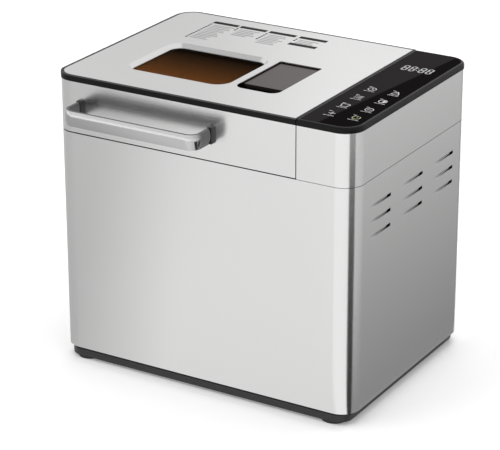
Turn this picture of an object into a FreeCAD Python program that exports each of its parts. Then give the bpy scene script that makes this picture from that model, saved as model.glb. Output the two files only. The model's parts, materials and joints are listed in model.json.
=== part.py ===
import FreeCAD, Part
import math
import os

# Bread machine, millimetres. Modelled about the middle of the body, with the front at -Y and the
# console at +X, then shifted on export so that the origin is the bottom centre of the whole box.

V = FreeCAD.Vector

# Overall body
WIDTH = 347.0
DEPTH = 253.0
HEIGHT = 315.0
CORNER_R = 21.0
LID_H = 61.0
RIM_H = 6.0
RIM_PROUD = 0.6
SHEET = 0.8

# Clearances
RUN = 0.05
SNUG = 0.02
GAP = 0.3
PLAY = 0.1
TOUCH = 0.01

# Plinth and feet
FOOT_H = 3.0
FOOT_R = 13.0
FOOT_STEM_R = 3.0
FOOT_INSET_X = 26.0
FOOT_INSET_Y = 15.5
BASE_H = 10.0
BASE_INSET = 2.0
BASE_SIDE_INSET = 6.5
BASE_CORNER_R = 15.0
BASE_WALL = 2.5
BASE_FLOOR_T = 3.0
BASE_LIP_H = 2.2
BASE_LIP_INSET = 3.4
BASE_UPSTAND_H = 12.0
BASE_VENT_W = 4.0
BASE_VENT_L = 44.0
BASE_VENT_PITCH = 11.0
BASE_VENTS = 6
SCREW_R = 2.0
SCREW_HEAD_R = 3.6
SCREW_HEAD_H = 1.4
SCREW_BITE = 12.0
SCREW_SUNK = 0.2

# Louvres in the right side
LOUVRE_L = 43.0
LOUVRE_H = 3.4
LOUVRE_DEPTH = 1.6
LOUVRE_HOLE_L = 5.0
LOUVRE_PITCH_Y = 69.0
LOUVRE_PITCH_Z = 16.0
LOUVRE_TOP_DROP = 29.2
LOUVRE_COLUMNS = 3
LOUVRE_ROWS = 3

# Rear panel and cord gland
PANEL_SIDE_ROOM = 62.5
PANEL_Z0 = 36.0
PANEL_TOP_ROOM = 32.0
PANEL_T = 2.4
PANEL_FLANGE = 8.0
PANEL_VENT_W = 3.0
PANEL_VENT_L = 46.0
PANEL_VENT_PITCH = 9.0
PANEL_VENTS = 12
PANEL_VENT_DROP = 72.0
GLAND_IN = 30.0
GLAND_Z = 62.0
GLAND_BORE_R = 3.6
GLAND_R = 8.0
GLAND_FLANGE_R = 11.0
GLAND_FLANGE_T = 2.0
PANEL_SCREW_R = 1.6
PANEL_SCREW_HEAD_R = 3.0

# Deck and oven chamber
DECK_DROP = 3.0
DECK_T = 3.0
DECK_SKIRT_H = 12.0
CHAMBER_LEFT_ROOM = 24.5
CHAMBER_END_ROOM = 27.5
CHAMBER_R = 22.0
CHAMBER_FLANGE = 7.0

# Heating element, clips and probe
ELEMENT_R = 3.3
ELEMENT_RISE = 20.0
ELEMENT_ROOM = 10.0
ELEMENT_BEND_R = 30.0
ELEMENT_TAIL_Y = 14.0
ELEMENT_TAIL_BEND_R = 9.0
ELEMENT_TAIL_L = 8.0
CLIP_W = 8.0
CLIP_WALL = 1.6
PROBE_R = 3.0
PROBE_FLANGE_R = 7.0
PROBE_FLANGE_T = 2.0
PROBE_Y = 45.0
PROBE_Z = 128.0
PROBE_IN = 6.0
PROBE_OUT = 10.0

# Chassis, drive and pan seat
POST_H = 34.0
POST_R = 5.0
POST_INSET = 9.0
CHASSIS_T = 2.0
CHASSIS_HALF_D = 47.0
CHASSIS_LEFT = 72.0
CHASSIS_RIGHT = 38.0
BEARING_H = 21.2
BEARING_HUB_R = 12.0
BEARING_FLANGE_R = 28.0
BEARING_FLANGE_T = 3.0
BEARING_COLLAR_H = 2.8
BUSH_R = 7.0
BUSH_L = 8.0
SHAFT_R = 4.0
BELT_W = 10.8
BELT_T = 1.8
PULLEY_R = 48.0
PULLEY_FLANGE = 2.5
PULLEY_FLANGE_T = 1.5
PULLEY_RIM_T = 6.0
PULLEY_WEB_T = 4.0
PULLEY_HUB_R = 11.0
PULLEY_DROP = 1.4
PULLEY_HOLE_R = 9.0
PULLEY_HOLES = 5
SEAT_R = 52.0
SEAT_WALL = 4.0
SEAT_H = 13.0
SEAT_FLOOR_T = 2.5
LUG_REACH = 3.0
LUG_H = 4.0
LUG_ANGLE = 16.0
LUGS = 4

# Dog and wing coupling
DOG_HUB_H = 3.4
DOG_PRONG_R0 = 9.5
DOG_PRONG_R1 = 15.5
DOG_PRONG_H = 5.0
DOG_PRONG_ANGLE = 40.0
WING_HUB_R = 7.0
WING_R = 15.0
WING_ANGLE = 28.0

# Motor beside the chamber
MOTOR_IN = 43.5
MOTOR_ROOM = 11.0
MOTOR_W = 68.0
MOTOR_CORNER_R = 12.0
BELL_H = 12.0
BELL_T = 3.0
BELL_CAVITY_R = 28.0
STACK_H = 32.0
ROTOR_R = 20.5
ROTOR_GAP = 0.5
ROTOR_END = 2.0
MOTOR_PULLEY_R = 8.0
MOTOR_BOLT_R = 2.0
MOTOR_BOLT_INSET = 7.0
MOTOR_BOLT_HEAD_R = 4.0
MOTOR_BOLT_HEAD_H = 2.6
FAN_R = 30.0
FAN_HUB_R = 9.0
FAN_H = 8.0
FAN_BLADE_T = 1.6
FAN_BLADES = 7

# Bread pan
PAN_RING_ROOM = 4.0
PAN_RING_WALL = 4.0
PAN_RING_H = 13.2
PAN_TAB_ANGLE = 12.0
PAN_TAB_H = 4.4
PAN_TAB_LIFT = 1.2
PAN_SIDE_ROOM = 28.0
PAN_END_ROOM = 32.0
PAN_TAPER = 8.0
PAN_CORNER_R = 24.0
PAN_HEADROOM = 52.0
PAN_WALL = 1.2
PAN_RIM = 4.0
PAN_RIM_T = 1.6
PAN_TAB_W = 18.0
PAN_TAB_L = 15.0
PAN_BUSH_R = 8.0
PAN_BUSH_FLANGE_R = 14.0
PAN_BUSH_FLANGE_T = 3.0
PAN_BUSH_DROP = 4.0
PAN_BUSH_RISE = 9.0
EAR_T = 1.6
EAR_W = 16.0
RIVET_R = 1.5
RIVET_HEAD_R = 2.6
RIVET_HEAD_H = 0.9
BAIL_R = 2.2
BAIL_LIFT = 0.4
BAIL_PLAY = 0.8
BAIL_ARM = 54.0
BAIL_BEND_R = 16.0
PADDLE_HUB_R = 9.5
PADDLE_HUB_H = 21.0
PADDLE_REACH = 42.0
PADDLE_H = 34.0
PADDLE_TIP_H = 13.0
PADDLE_T = 5.0
PADDLE_CROWN = 0.35
PADDLE_SWEEP = 0.4
PADDLE_BELLY = 0.2
PADDLE_LIFT = 0.5
SHAFT_FLAT = 1.2

# Split between the lid and the console
CONSOLE_W = 64.1
SPLIT_GAP = 1.0
LID_GAP = 0.6
FRAME_WALL = 2.2
RIM_WIDTH = 10.0
PLATE_T = 1.0
PLATE_LINE = 3.4
SEAM_LINE = 1.5
RIM_STEP = 0.2

# Lid liner and seal
LINER_RISE = 0.8
LINER_T = 0.8
DOME_SIDE_IN = 8.0
DOME_END_IN = 6.0
DOME_R = 20.0
DOME_H = 15.4
DOME_FILLET = 7.0
SEAL_W = 6.0
SEAL_OUT = 5.0

# Window in the lid
WINDOW_LEFT_IN = 19.5
WINDOW_RIGHT_ROOM = 8.5
WINDOW_Y0 = -78.0
WINDOW_Y1 = 22.5
WINDOW_R = 17.0
WINDOW_DEPTH = 4.5
WINDOW_SLOPE = 2.5
WINDOW_LIP = 1.5
GLASS_T = 3.0
TUNNEL_WALL = 1.5

# Dispenser in the lid
DISP_W = 49.0
DISP_RIGHT_IN = 20.0
DISP_Y0 = -73.0
DISP_Y1 = 21.0
DISP_R = 10.0
DISP_BACK_R = 2.0
COLLAR_WALL = 3.5
COLLAR_H = 11.0
COVER_DROP = 2.0
COVER_T = 3.2
COVER_FRONT_Y = -54.0
COVER_HINGE_Y = 17.0
COVER_TAIL = 3.0
COVER_PLAY = 0.6
COVER_CORNER_R = 1.0
COVER_PIN_R = 1.2
COVER_PIN_L = 2.0
COVER_TRENCH = 3.0
HOPPER_WALL = 2.0
HOPPER_LEDGE = 4.0
HOPPER_BAR = 2.0
FINGER_DEPTH = 9.0
FLAP_T = 2.0
FLAP_BARREL_R = 2.2
FLAP_PIN_R = 1.2
FLAP_EAR_T = 2.4
FLAP_ROOM = 1.5
FLAP_SWELL = 0.5
SPRING_R = 2.0
SPRING_L = 10.0
MAGNET_L = 22.0
MAGNET_W = 7.0
MAGNET_H = 16.0

# Handle
HANDLE_REACH = 33.0
HANDLE_LEFT_IN = 31.5
HANDLE_RIGHT_IN = 92.4
HANDLE_RISE = 28.0
HANDLE_H = 16.0
HANDLE_T = 4.0
HANDLE_EDGE = 2.8
HANDLE_BEND_R = 9.0
SPACER_L = 4.5
SPACER_LIP = 0.5
HANDLE_SCREW_R = 1.2
HANDLE_SCREW_HEAD_R = 2.6
HANDLE_SCREW_HEAD_H = 1.6
HANDLE_SCREW_BITE = 8.0

# Lid hinges
KNUCKLE_R = 4.0
HINGE_STANDOFF = 0.4
HINGE_W = 44.0
HINGE_MID_W = 19.0
HINGE_PLAY = 0.5
HINGE_SPREAD = 88.0
LEAF_T = 2.2
LEAF_H = 22.0
PIN_R = 1.6

# Console
CONSOLE_WALL = 2.0
CONSOLE_GAP = 0.1
RIM_ROUND = 3.0
TOUCH_T = 2.5
TOUCH_DROP = 0.1
TOUCH_INSET = 3.5
TOUCH_LEDGE = 3.0
SHELF_T = 2.0
SHELF_W = 6.0
BOARD_T = 1.6
BOARD_DROP = 11.0
DISPLAY_IN = 32.0
DISPLAY_FROM_BACK = 57.5
DISPLAY_W = 40.0
DISPLAY_D = 24.0
POWER_W = 62.0
POWER_D = 130.0
POWER_DROP = 12.0
POWER_IN = 40.5
POWER_Y = -25.0
BLOCK_MARGIN = 8.0
TRANSFORMER_W = 30.0
TRANSFORMER_D = 36.0
TRANSFORMER_H = 26.0
TRANSFORMER_Y = 10.0
RELAY_W = 19.0
RELAY_D = 16.0
RELAY_H = 16.0
RELAY_Y = 56.0
TERMINAL_W = 10.0
TERMINAL_D = 40.0
TERMINAL_H = 12.0
TERMINAL_Y = 82.0
CAPACITOR_R = 6.0
CAPACITOR_H = 22.0
CAPACITOR_X = 48.0
CAPACITOR_Y = 30.0
CAPACITOR_PITCH = 20.0
BOSS_R = 3.5

# Levels and places worked out from the sizes above
FRONT = -DEPTH / 2
BACK = DEPTH / 2
SIDE = WIDTH / 2
SEAM_Z = HEIGHT - LID_H
RIM_Z = HEIGHT - RIM_H
STEEL_IN = RIM_PROUD + SHEET
INSIDE = STEEL_IN + GAP
WRAP_Z0 = FOOT_H + BASE_H
BASE_TOP = FOOT_H + BASE_FLOOR_T
LOUVRE_TOP_Z = SEAM_Z - LOUVRE_TOP_DROP
PANEL_W = WIDTH - 2 * PANEL_SIDE_ROOM
PANEL_Z1 = SEAM_Z - PANEL_TOP_ROOM
PANEL_VENT_Z = PANEL_Z1 - PANEL_VENT_DROP
GLAND_X = PANEL_W / 2 - GLAND_IN
MOTOR_X = SIDE - MOTOR_IN
CHAMBER_X0 = -SIDE + CHAMBER_LEFT_ROOM
CHAMBER_X1 = MOTOR_X - MOTOR_W / 2 - MOTOR_ROOM
CHAMBER_W = CHAMBER_X1 - CHAMBER_X0
CHAMBER_D = DEPTH - 2 * CHAMBER_END_ROOM
CHAMBER_CX = (CHAMBER_X0 + CHAMBER_X1) / 2
ELEMENT_W = CHAMBER_W - 2 * ELEMENT_ROOM
ELEMENT_D = CHAMBER_D - 2 * ELEMENT_ROOM
PAN_W = CHAMBER_W - 2 * PAN_SIDE_ROOM
PAN_D = CHAMBER_D - 2 * PAN_END_ROOM
DOME_W = CHAMBER_W - 2 * DOME_SIDE_IN
DOME_D = CHAMBER_D - 2 * DOME_END_IN
CHASSIS_Z = BASE_TOP + POST_H
CHASSIS_TOP = CHASSIS_Z + CHASSIS_T
CHAMBER_FLOOR = CHASSIS_TOP + BEARING_H + SHEET
DECK_TOP = SEAM_Z - DECK_DROP
DECK_Z0 = DECK_TOP - DECK_T
ELEMENT_Z = CHAMBER_FLOOR + ELEMENT_RISE
SEAT_TOP = CHAMBER_FLOOR + SEAT_FLOOR_T
PAN_RING_R = SEAT_R - SEAT_WALL - PAN_RING_ROOM
PAN_RING_Z = SEAT_TOP + GAP
PAN_Z = PAN_RING_Z + PAN_RING_H
PAN_TOP = SEAM_Z - PAN_HEADROOM
PAN_H = PAN_TOP - PAN_Z
BAIL_Z = PAN_TOP + BAIL_R + BAIL_LIFT
BAIL_X = PAN_W / 2 + PAN_RIM + BAIL_R
EAR_X = BAIL_X + BAIL_R + BAIL_PLAY
BUSH_Z0 = PAN_Z - PAN_BUSH_DROP
BUSH_Z1 = PAN_Z + PAN_BUSH_RISE
PADDLE_Z = BUSH_Z1 + PADDLE_LIFT
DOG_Z = CHAMBER_FLOOR + BEARING_COLLAR_H + GAP
DOG_TOP = DOG_Z + DOG_HUB_H
WING_Z0 = DOG_TOP + GAP
WING_Z1 = BUSH_Z0 - GAP
PULLEY_Z1 = CHASSIS_Z - PULLEY_DROP
PULLEY_Z0 = PULLEY_Z1 - BELT_W - 2 * GAP - 2 * PULLEY_FLANGE_T
BELT_Z0 = PULLEY_Z0 + PULLEY_FLANGE_T + GAP
STACK_Z = CHASSIS_TOP + BELL_H
MOTOR_TOP = STACK_Z + STACK_H + BELL_H
LID_Z0 = SEAM_Z + LID_GAP
LINER_Z = LID_Z0 + LINER_RISE
LINER_TOP = LINER_Z + LINER_T
CEILING_Z = LID_Z0 + DOME_H
PLATE_Z = HEIGHT - PLATE_T
LIP_Z = HEIGHT - WINDOW_DEPTH - PLATE_T
GLASS_Z = LIP_Z - GLASS_T
INNER_GLASS_Z = CEILING_Z + LINER_T
TUNNEL_Z = INNER_GLASS_Z + GLASS_T
COLLAR_TOP = PLATE_Z - PLAY
COLLAR_Z = COLLAR_TOP - COLLAR_H
COVER_TOP = HEIGHT - COVER_DROP
COVER_Z = COVER_TOP - COVER_T
COVER_HINGE_Z = COVER_Z + COVER_T / 2
DISP_X1 = CHAMBER_CX + DOME_W / 2 - DISP_RIGHT_IN
DISP_X0 = DISP_X1 - DISP_W
WINDOW_X0 = CHAMBER_CX - DOME_W / 2 + WINDOW_LEFT_IN
WINDOW_X1 = DISP_X0 - WINDOW_RIGHT_ROOM
HOPPER_X0 = DISP_X0 + HOPPER_LEDGE
HOPPER_X1 = DISP_X1 - HOPPER_LEDGE
HOPPER_Y0 = COVER_FRONT_Y + HOPPER_BAR
HOPPER_Y1 = DISP_Y1 - HOPPER_LEDGE
HOPPER_Z = CEILING_Z + FLAP_T
FLAP_Z = HOPPER_Z - GAP - FLAP_T
FLAP_AXIS_X = HOPPER_X1 + HOPPER_WALL + FLAP_BARREL_R
FLAP_AXIS_Z = FLAP_Z + FLAP_T / 2
FLAP_Y0 = HOPPER_Y0 - HOPPER_WALL
FLAP_Y1 = HOPPER_Y1 + HOPPER_WALL
FLAP_X0 = HOPPER_X0 - HOPPER_WALL - MAGNET_W
LID_RIGHT = SIDE - CONSOLE_W
HANDLE_X0 = -SIDE + HANDLE_LEFT_IN
HANDLE_X1 = LID_RIGHT - HANDLE_RIGHT_IN
HANDLE_Z = SEAM_Z + HANDLE_RISE
CONSOLE_X0 = LID_RIGHT + SPLIT_GAP
CONSOLE_Z0 = SEAM_Z - CONSOLE_GAP
TOUCH_Z = HEIGHT - TOUCH_DROP - TOUCH_T
BOARD_Z = HEIGHT - BOARD_DROP
DISPLAY_X = SIDE - DISPLAY_IN
DISPLAY_Y = BACK - DISPLAY_FROM_BACK
POWER_X = SIDE - POWER_IN
LID_CX = (LID_RIGHT - SIDE) / 2
HINGE_Y = BACK + KNUCKLE_R + HINGE_STANDOFF
HINGE_XS = (LID_CX - HINGE_SPREAD, LID_CX + HINGE_SPREAD)
REAR_REACH = 2 * KNUCKLE_R + HINGE_STANDOFF
FRAME_SHIFT = V(0, (HANDLE_REACH - REAR_REACH) / 2, 0)
FAR = WIDTH + DEPTH + HEIGHT


def box(x0, x1, y0, y1, z0, z1):
    return Part.makeBox(x1 - x0, y1 - y0, z1 - z0, V(x0, y0, z0))


def rod(x, y, z0, z1, r):
    return Part.makeCylinder(r, z1 - z0, V(x, y, z0))


def rod_x(x0, x1, y, z, r):
    return Part.makeCylinder(r, x1 - x0, V(x0, y, z), V(1, 0, 0))


def rod_y(x, y0, y1, z, r):
    return Part.makeCylinder(r, y1 - y0, V(x, y0, z), V(0, 1, 0))


def tube(x, y, z0, z1, r_out, r_in):
    return rod(x, y, z0, z1, r_out).cut(rod(x, y, z0, z1, r_in))


def join(shapes):
    return shapes[0].multiFuse(shapes[1:]).removeSplitter()


def rounded_wire(x0, x1, y0, y1, z, r):
    k = r * (1 - math.sqrt(0.5))
    edges = [
        Part.LineSegment(V(x0 + r, y0, z), V(x1 - r, y0, z)),
        Part.Arc(V(x1 - r, y0, z), V(x1 - k, y0 + k, z), V(x1, y0 + r, z)),
        Part.LineSegment(V(x1, y0 + r, z), V(x1, y1 - r, z)),
        Part.Arc(V(x1, y1 - r, z), V(x1 - k, y1 - k, z), V(x1 - r, y1, z)),
        Part.LineSegment(V(x1 - r, y1, z), V(x0 + r, y1, z)),
        Part.Arc(V(x0 + r, y1, z), V(x0 + k, y1 - k, z), V(x0, y1 - r, z)),
        Part.LineSegment(V(x0, y1 - r, z), V(x0, y0 + r, z)),
        Part.Arc(V(x0, y0 + r, z), V(x0 + k, y0 + k, z), V(x0 + r, y0, z)),
    ]
    return Part.Wire([edge.toShape() for edge in edges])


def slab(x0, x1, y0, y1, z0, z1, r):
    return Part.Face(rounded_wire(x0, x1, y0, y1, z0, r)).extrude(V(0, 0, z1 - z0))


def centred_slab(x, y, w, d, z0, z1, r):
    return slab(x - w / 2, x + w / 2, y - d / 2, y + d / 2, z0, z1, r)


def outline(inset, z0, z1):
    return centred_slab(0, 0, WIDTH - 2 * inset, DEPTH - 2 * inset, z0, z1, CORNER_R - inset)


def band(inset, wall, z0, z1):
    return outline(inset, z0, z1).cut(outline(inset + wall, z0, z1))


def lid_side(shape, back_off=0.0):
    return shape.common(box(-FAR, LID_RIGHT - back_off, -FAR, FAR, -FAR, FAR))


def console_side(shape, back_off=0.0):
    return shape.common(box(CONSOLE_X0 + back_off, FAR, -FAR, FAR, -FAR, FAR))


def sector(x, y, r0, r1, middle, spread, z0, z1):
    a0 = math.radians(middle - spread / 2)
    a1 = math.radians(middle + spread / 2)
    am = math.radians(middle)

    def at(r, a):
        return V(x + r * math.cos(a), y + r * math.sin(a), z0)

    edges = [
        Part.LineSegment(at(r0, a0), at(r1, a0)),
        Part.Arc(at(r1, a0), at(r1, am), at(r1, a1)),
        Part.LineSegment(at(r1, a1), at(r0, a1)),
        Part.Arc(at(r0, a1), at(r0, am), at(r0, a0)),
    ]
    wire = Part.Wire([edge.toShape() for edge in edges])
    return Part.Face(wire).extrude(V(0, 0, z1 - z0))


def corners(x, y):
    return [(sx * x, sy * y) for sx in (-1, 1) for sy in (-1, 1)]


def foot_places():
    return corners(WIDTH / 2 - FOOT_INSET_X, DEPTH / 2 - FOOT_INSET_Y)


def post_places():
    xs = (CHAMBER_CX - CHASSIS_LEFT + POST_INSET, MOTOR_X + CHASSIS_RIGHT - POST_INSET)
    ys = (POST_INSET - CHASSIS_HALF_D, CHASSIS_HALF_D - POST_INSET)
    return [(x, y) for x in xs for y in ys]


def motor_bolt_places():
    reach = MOTOR_W / 2 - MOTOR_BOLT_INSET
    return [(MOTOR_X + x, y) for x, y in corners(reach, reach)]


def panel_screw_places():
    x = PANEL_W / 2 + PANEL_FLANGE / 2
    levels = (PANEL_Z0, (PANEL_Z0 + PANEL_Z1) / 2, PANEL_Z1)
    return [(side * x, z) for side in (-1, 1) for z in levels]


# Plinth

def plinth(inset, z0, z1):
    w = WIDTH - 2 * (BASE_SIDE_INSET + inset)
    d = DEPTH - 2 * (BASE_INSET + inset)
    return centred_slab(0, 0, w, d, z0, z1, BASE_CORNER_R - inset)


def base_tray():
    lip_z = WRAP_Z0 - BASE_LIP_H
    top = WRAP_Z0 + BASE_UPSTAND_H
    tray = plinth(0, FOOT_H, lip_z).cut(plinth(BASE_WALL, BASE_TOP, lip_z))
    flange = outline(BASE_LIP_INSET, lip_z, WRAP_Z0).cut(plinth(BASE_WALL, lip_z, WRAP_Z0))
    lip = band(BASE_LIP_INSET, BASE_WALL, lip_z, top)
    upstand = band(INSIDE, BASE_WALL, WRAP_Z0, top)
    tray = join([tray, flange, lip, upstand])
    cuts = []
    for x, y in foot_places():
        cuts.append(rod(x, y, 0, BASE_TOP + FOOT_H, FOOT_STEM_R + SNUG))
    for x, y in post_places():
        cuts.append(rod(x, y, 0, BASE_TOP, SCREW_R + GAP))
        cuts.append(rod(x, y, 0, FOOT_H + SCREW_HEAD_H, SCREW_HEAD_R + GAP))
    for i in range(BASE_VENTS):
        x = MOTOR_X + (i - (BASE_VENTS - 1) / 2) * BASE_VENT_PITCH
        cuts.append(centred_slab(x, 0, BASE_VENT_W, BASE_VENT_L, 0, BASE_TOP, BASE_VENT_W / 2 - TOUCH))
    return tray.cut(cuts)


def foot_pads():
    pads = []
    for x, y in foot_places():
        pad = rod(x, y, 0, FOOT_H, FOOT_R)
        pads.append(join([pad, rod(x, y, FOOT_H, BASE_TOP + 1, FOOT_STEM_R)]))
    return pads


def base_screws():
    screws = []
    for x, y in post_places():
        top = FOOT_H + SCREW_HEAD_H
        head = rod(x, y, FOOT_H + SCREW_SUNK, top, SCREW_HEAD_R)
        screws.append(join([head, rod(x, y, top, BASE_TOP + SCREW_BITE, SCREW_R)]))
    return screws


# Steel body

def louvre_places():
    for column in range(LOUVRE_COLUMNS):
        for row in range(LOUVRE_ROWS):
            y = (column - (LOUVRE_COLUMNS - 1) / 2) * LOUVRE_PITCH_Y
            yield y, LOUVRE_TOP_Z - row * LOUVRE_PITCH_Z


def body_wrap():
    wrap = band(RIM_PROUD, SHEET, WRAP_Z0, SEAM_Z - LID_GAP)
    wall = WIDTH / 2 - RIM_PROUD
    cuts = [box(-PANEL_W / 2, PANEL_W / 2, 0, FAR, PANEL_Z0, PANEL_Z1)]
    tongues = []
    for y, z in louvre_places():
        y0 = y - LOUVRE_L / 2
        y1 = y + LOUVRE_L / 2
        z0 = z - LOUVRE_H / 2
        cuts.append(box(wall - 2 * SHEET, FAR, y0, y1, z0, z0 + LOUVRE_H))
        tail = y1 - LOUVRE_HOLE_L
        points = [
            V(wall, y0 - SHEET, z0),
            V(wall, y0, z0),
            V(wall - LOUVRE_DEPTH, tail, z0),
            V(wall - LOUVRE_DEPTH - SHEET, tail, z0),
            V(wall - SHEET, y0 - SHEET, z0),
        ]
        ramp = Part.makePolygon(points + points[:1])
        tongues.append(Part.Face(ramp).extrude(V(0, 0, LOUVRE_H)))
    for x, z in panel_screw_places():
        cuts.append(rod_y(x, 0, FAR, z, PANEL_SCREW_R + GAP))
    return join([wrap.cut(cuts)] + tongues)


def rear_panel():
    outer = BACK - STEEL_IN - PLAY
    half = PANEL_W / 2 + PANEL_FLANGE
    plate = box(-half, half, outer - PANEL_T, outer, PANEL_Z0 - PANEL_FLANGE, PANEL_Z1 + PANEL_FLANGE)
    pad_half = PANEL_W / 2 - GAP
    pad = box(-pad_half, pad_half, outer, BACK - RIM_PROUD, PANEL_Z0 + GAP, PANEL_Z1 - GAP)
    cuts = [rod_y(GLAND_X, 0, FAR, GLAND_Z, GLAND_R + SNUG)]
    for i in range(PANEL_VENTS):
        x = (i - (PANEL_VENTS - 1) / 2) * PANEL_VENT_PITCH
        z0 = PANEL_VENT_Z - PANEL_VENT_L / 2
        cuts.append(box(x - PANEL_VENT_W / 2, x + PANEL_VENT_W / 2, 0, FAR, z0, z0 + PANEL_VENT_L))
    for x, z in panel_screw_places():
        cuts.append(rod_y(x, 0, FAR, z, PANEL_SCREW_R + SNUG))
    return join([plate, pad]).cut(cuts)


def rear_panel_screws():
    screws = []
    face = BACK - RIM_PROUD
    for x, z in panel_screw_places():
        head = rod_y(x, face, face + SCREW_HEAD_H, z, PANEL_SCREW_HEAD_R)
        screws.append(join([head, rod_y(x, face - SCREW_BITE, face, z, PANEL_SCREW_R)]))
    return screws


def cord_gland():
    face = BACK - RIM_PROUD
    inner = BACK - STEEL_IN - PLAY - PANEL_T
    barrel = rod_y(GLAND_X, inner, face, GLAND_Z, GLAND_R)
    outside = rod_y(GLAND_X, face, face + GLAND_FLANGE_T, GLAND_Z, GLAND_FLANGE_R)
    inside = rod_y(GLAND_X, inner - GLAND_FLANGE_T, inner, GLAND_Z, GLAND_FLANGE_R)
    return join([barrel, outside, inside]).cut(rod_y(GLAND_X, 0, FAR, GLAND_Z, GLAND_BORE_R))


# Deck, oven and its heat

def top_deck():
    plate = outline(INSIDE, DECK_Z0, DECK_TOP)
    plate = plate.cut(centred_slab(CHAMBER_CX, 0, CHAMBER_W, CHAMBER_D, DECK_Z0, DECK_TOP, CHAMBER_R))
    skirt = band(INSIDE, BASE_WALL, DECK_Z0 - DECK_SKIRT_H, DECK_Z0)
    bosses = []
    for x, y in corners(POWER_W / 2 - BOSS_R, POWER_D / 2 - BOSS_R):
        bosses.append(rod(POWER_X + x, POWER_Y + y, DECK_Z0 - POWER_DROP, DECK_Z0, BOSS_R))
    return join([plate, skirt] + bosses)


def oven_chamber():
    wall_w = CHAMBER_W + 2 * SHEET
    wall_d = CHAMBER_D + 2 * SHEET
    tub = centred_slab(CHAMBER_CX, 0, wall_w, wall_d, CHAMBER_FLOOR - SHEET, DECK_Z0, CHAMBER_R + SHEET)
    flange_w = CHAMBER_W + 2 * CHAMBER_FLANGE
    flange_d = CHAMBER_D + 2 * CHAMBER_FLANGE
    flange_r = CHAMBER_R + CHAMBER_FLANGE
    flange = centred_slab(CHAMBER_CX, 0, flange_w, flange_d, DECK_Z0 - SHEET, DECK_Z0, flange_r)
    hollow = centred_slab(CHAMBER_CX, 0, CHAMBER_W, CHAMBER_D, CHAMBER_FLOOR, FAR, CHAMBER_R)
    x0 = CHAMBER_X1 - 1
    cuts = [
        hollow,
        rod(CHAMBER_CX, 0, 0, FAR, BEARING_HUB_R + GAP),
        rod_x(x0, FAR, PROBE_Y, PROBE_Z, PROBE_R + SNUG),
    ]
    for side in (-1, 1):
        cuts.append(rod_x(x0, FAR, side * ELEMENT_TAIL_Y, ELEMENT_Z, ELEMENT_R + SNUG))
    return join([tub, flange]).cut(cuts)


def heating_element():
    x0 = CHAMBER_CX - ELEMENT_W / 2
    x1 = CHAMBER_CX + ELEMENT_W / 2
    y1 = ELEMENT_D / 2
    tail = CHAMBER_X1 + SHEET + ELEMENT_TAIL_L
    r = ELEMENT_BEND_R
    b = ELEMENT_TAIL_BEND_R
    k = math.sqrt(0.5)
    z = ELEMENT_Z
    g = ELEMENT_TAIL_Y

    def line(ax, ay, bx, by):
        return Part.LineSegment(V(ax, ay, z), V(bx, by, z)).toShape()

    def arc(cx, cy, radius, a0):
        angles = [math.radians(a0 + step) for step in (0, 45, 90)]
        points = [V(cx + radius * math.cos(a), cy + radius * math.sin(a), z) for a in angles]
        return Part.Arc(*points).toShape()

    path = Part.Wire([
        line(tail, g, x1 + b, g),
        Part.Arc(
            V(x1 + b, g, z),
            V(x1 + b - b * k, g + b - b * k, z),
            V(x1, g + b, z),
        ).toShape(),
        line(x1, g + b, x1, y1 - r),
        arc(x1 - r, y1 - r, r, 0),
        line(x1 - r, y1, x0 + r, y1),
        arc(x0 + r, y1 - r, r, 90),
        line(x0, y1 - r, x0, r - y1),
        arc(x0 + r, r - y1, r, 180),
        line(x0 + r, -y1, x1 - r, -y1),
        arc(x1 - r, r - y1, r, 270),
        line(x1, r - y1, x1, -g - b),
        Part.Arc(
            V(x1, -g - b, z),
            V(x1 + b - b * k, -g - b + b * k, z),
            V(x1 + b, -g, z),
        ).toShape(),
        line(x1 + b, -g, tail, -g),
    ])
    ring = Part.Wire([Part.makeCircle(ELEMENT_R, V(tail, g, z), V(-1, 0, 0))])
    return path.makePipeShell([ring], True, False)


def element_clips():
    hole = ELEMENT_R + PLAY
    half = hole + CLIP_WALL
    x0 = CHAMBER_CX - ELEMENT_W / 2
    wall_x = CHAMBER_CX - CHAMBER_W / 2
    y1 = ELEMENT_D / 2
    wall_y = CHAMBER_D / 2
    z0 = ELEMENT_Z - half
    z1 = ELEMENT_Z + half
    left = box(wall_x, x0 + half, -CLIP_W / 2, CLIP_W / 2, z0, z1)
    clips = [left.cut(rod_y(x0, -CLIP_W, CLIP_W, ELEMENT_Z, hole))]
    a = CHAMBER_CX - CLIP_W / 2
    b = CHAMBER_CX + CLIP_W / 2
    for side in (-1, 1):
        low, high = sorted((side * (y1 - half), side * wall_y))
        clip = box(a, b, low, high, z0, z1)
        clips.append(clip.cut(rod_x(a - 1, b + 1, side * y1, ELEMENT_Z, hole)))
    return clips


def temperature_probe():
    wall = CHAMBER_X1 + SHEET
    stem = rod_x(CHAMBER_X1 - PROBE_IN, wall + PROBE_OUT, PROBE_Y, PROBE_Z, PROBE_R)
    return join([stem, rod_x(wall, wall + PROBE_FLANGE_T, PROBE_Y, PROBE_Z, PROBE_FLANGE_R)])


def pan_seat():
    seat = rod(CHAMBER_CX, 0, CHAMBER_FLOOR, SEAT_TOP, SEAT_R)
    wall = tube(CHAMBER_CX, 0, CHAMBER_FLOOR, CHAMBER_FLOOR + SEAT_H, SEAT_R, SEAT_R - SEAT_WALL)
    top = CHAMBER_FLOOR + SEAT_H
    lugs = []
    for i in range(LUGS):
        angle = (i + 0.5) * 360 / LUGS
        inner = SEAT_R - SEAT_WALL - LUG_REACH
        outer = SEAT_R - SEAT_WALL / 2
        lugs.append(sector(CHAMBER_CX, 0, inner, outer, angle, LUG_ANGLE, top - LUG_H, top))
    return join([seat, wall] + lugs).cut(rod(CHAMBER_CX, 0, 0, FAR, BEARING_HUB_R + GAP))


# Drive under the oven

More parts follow.
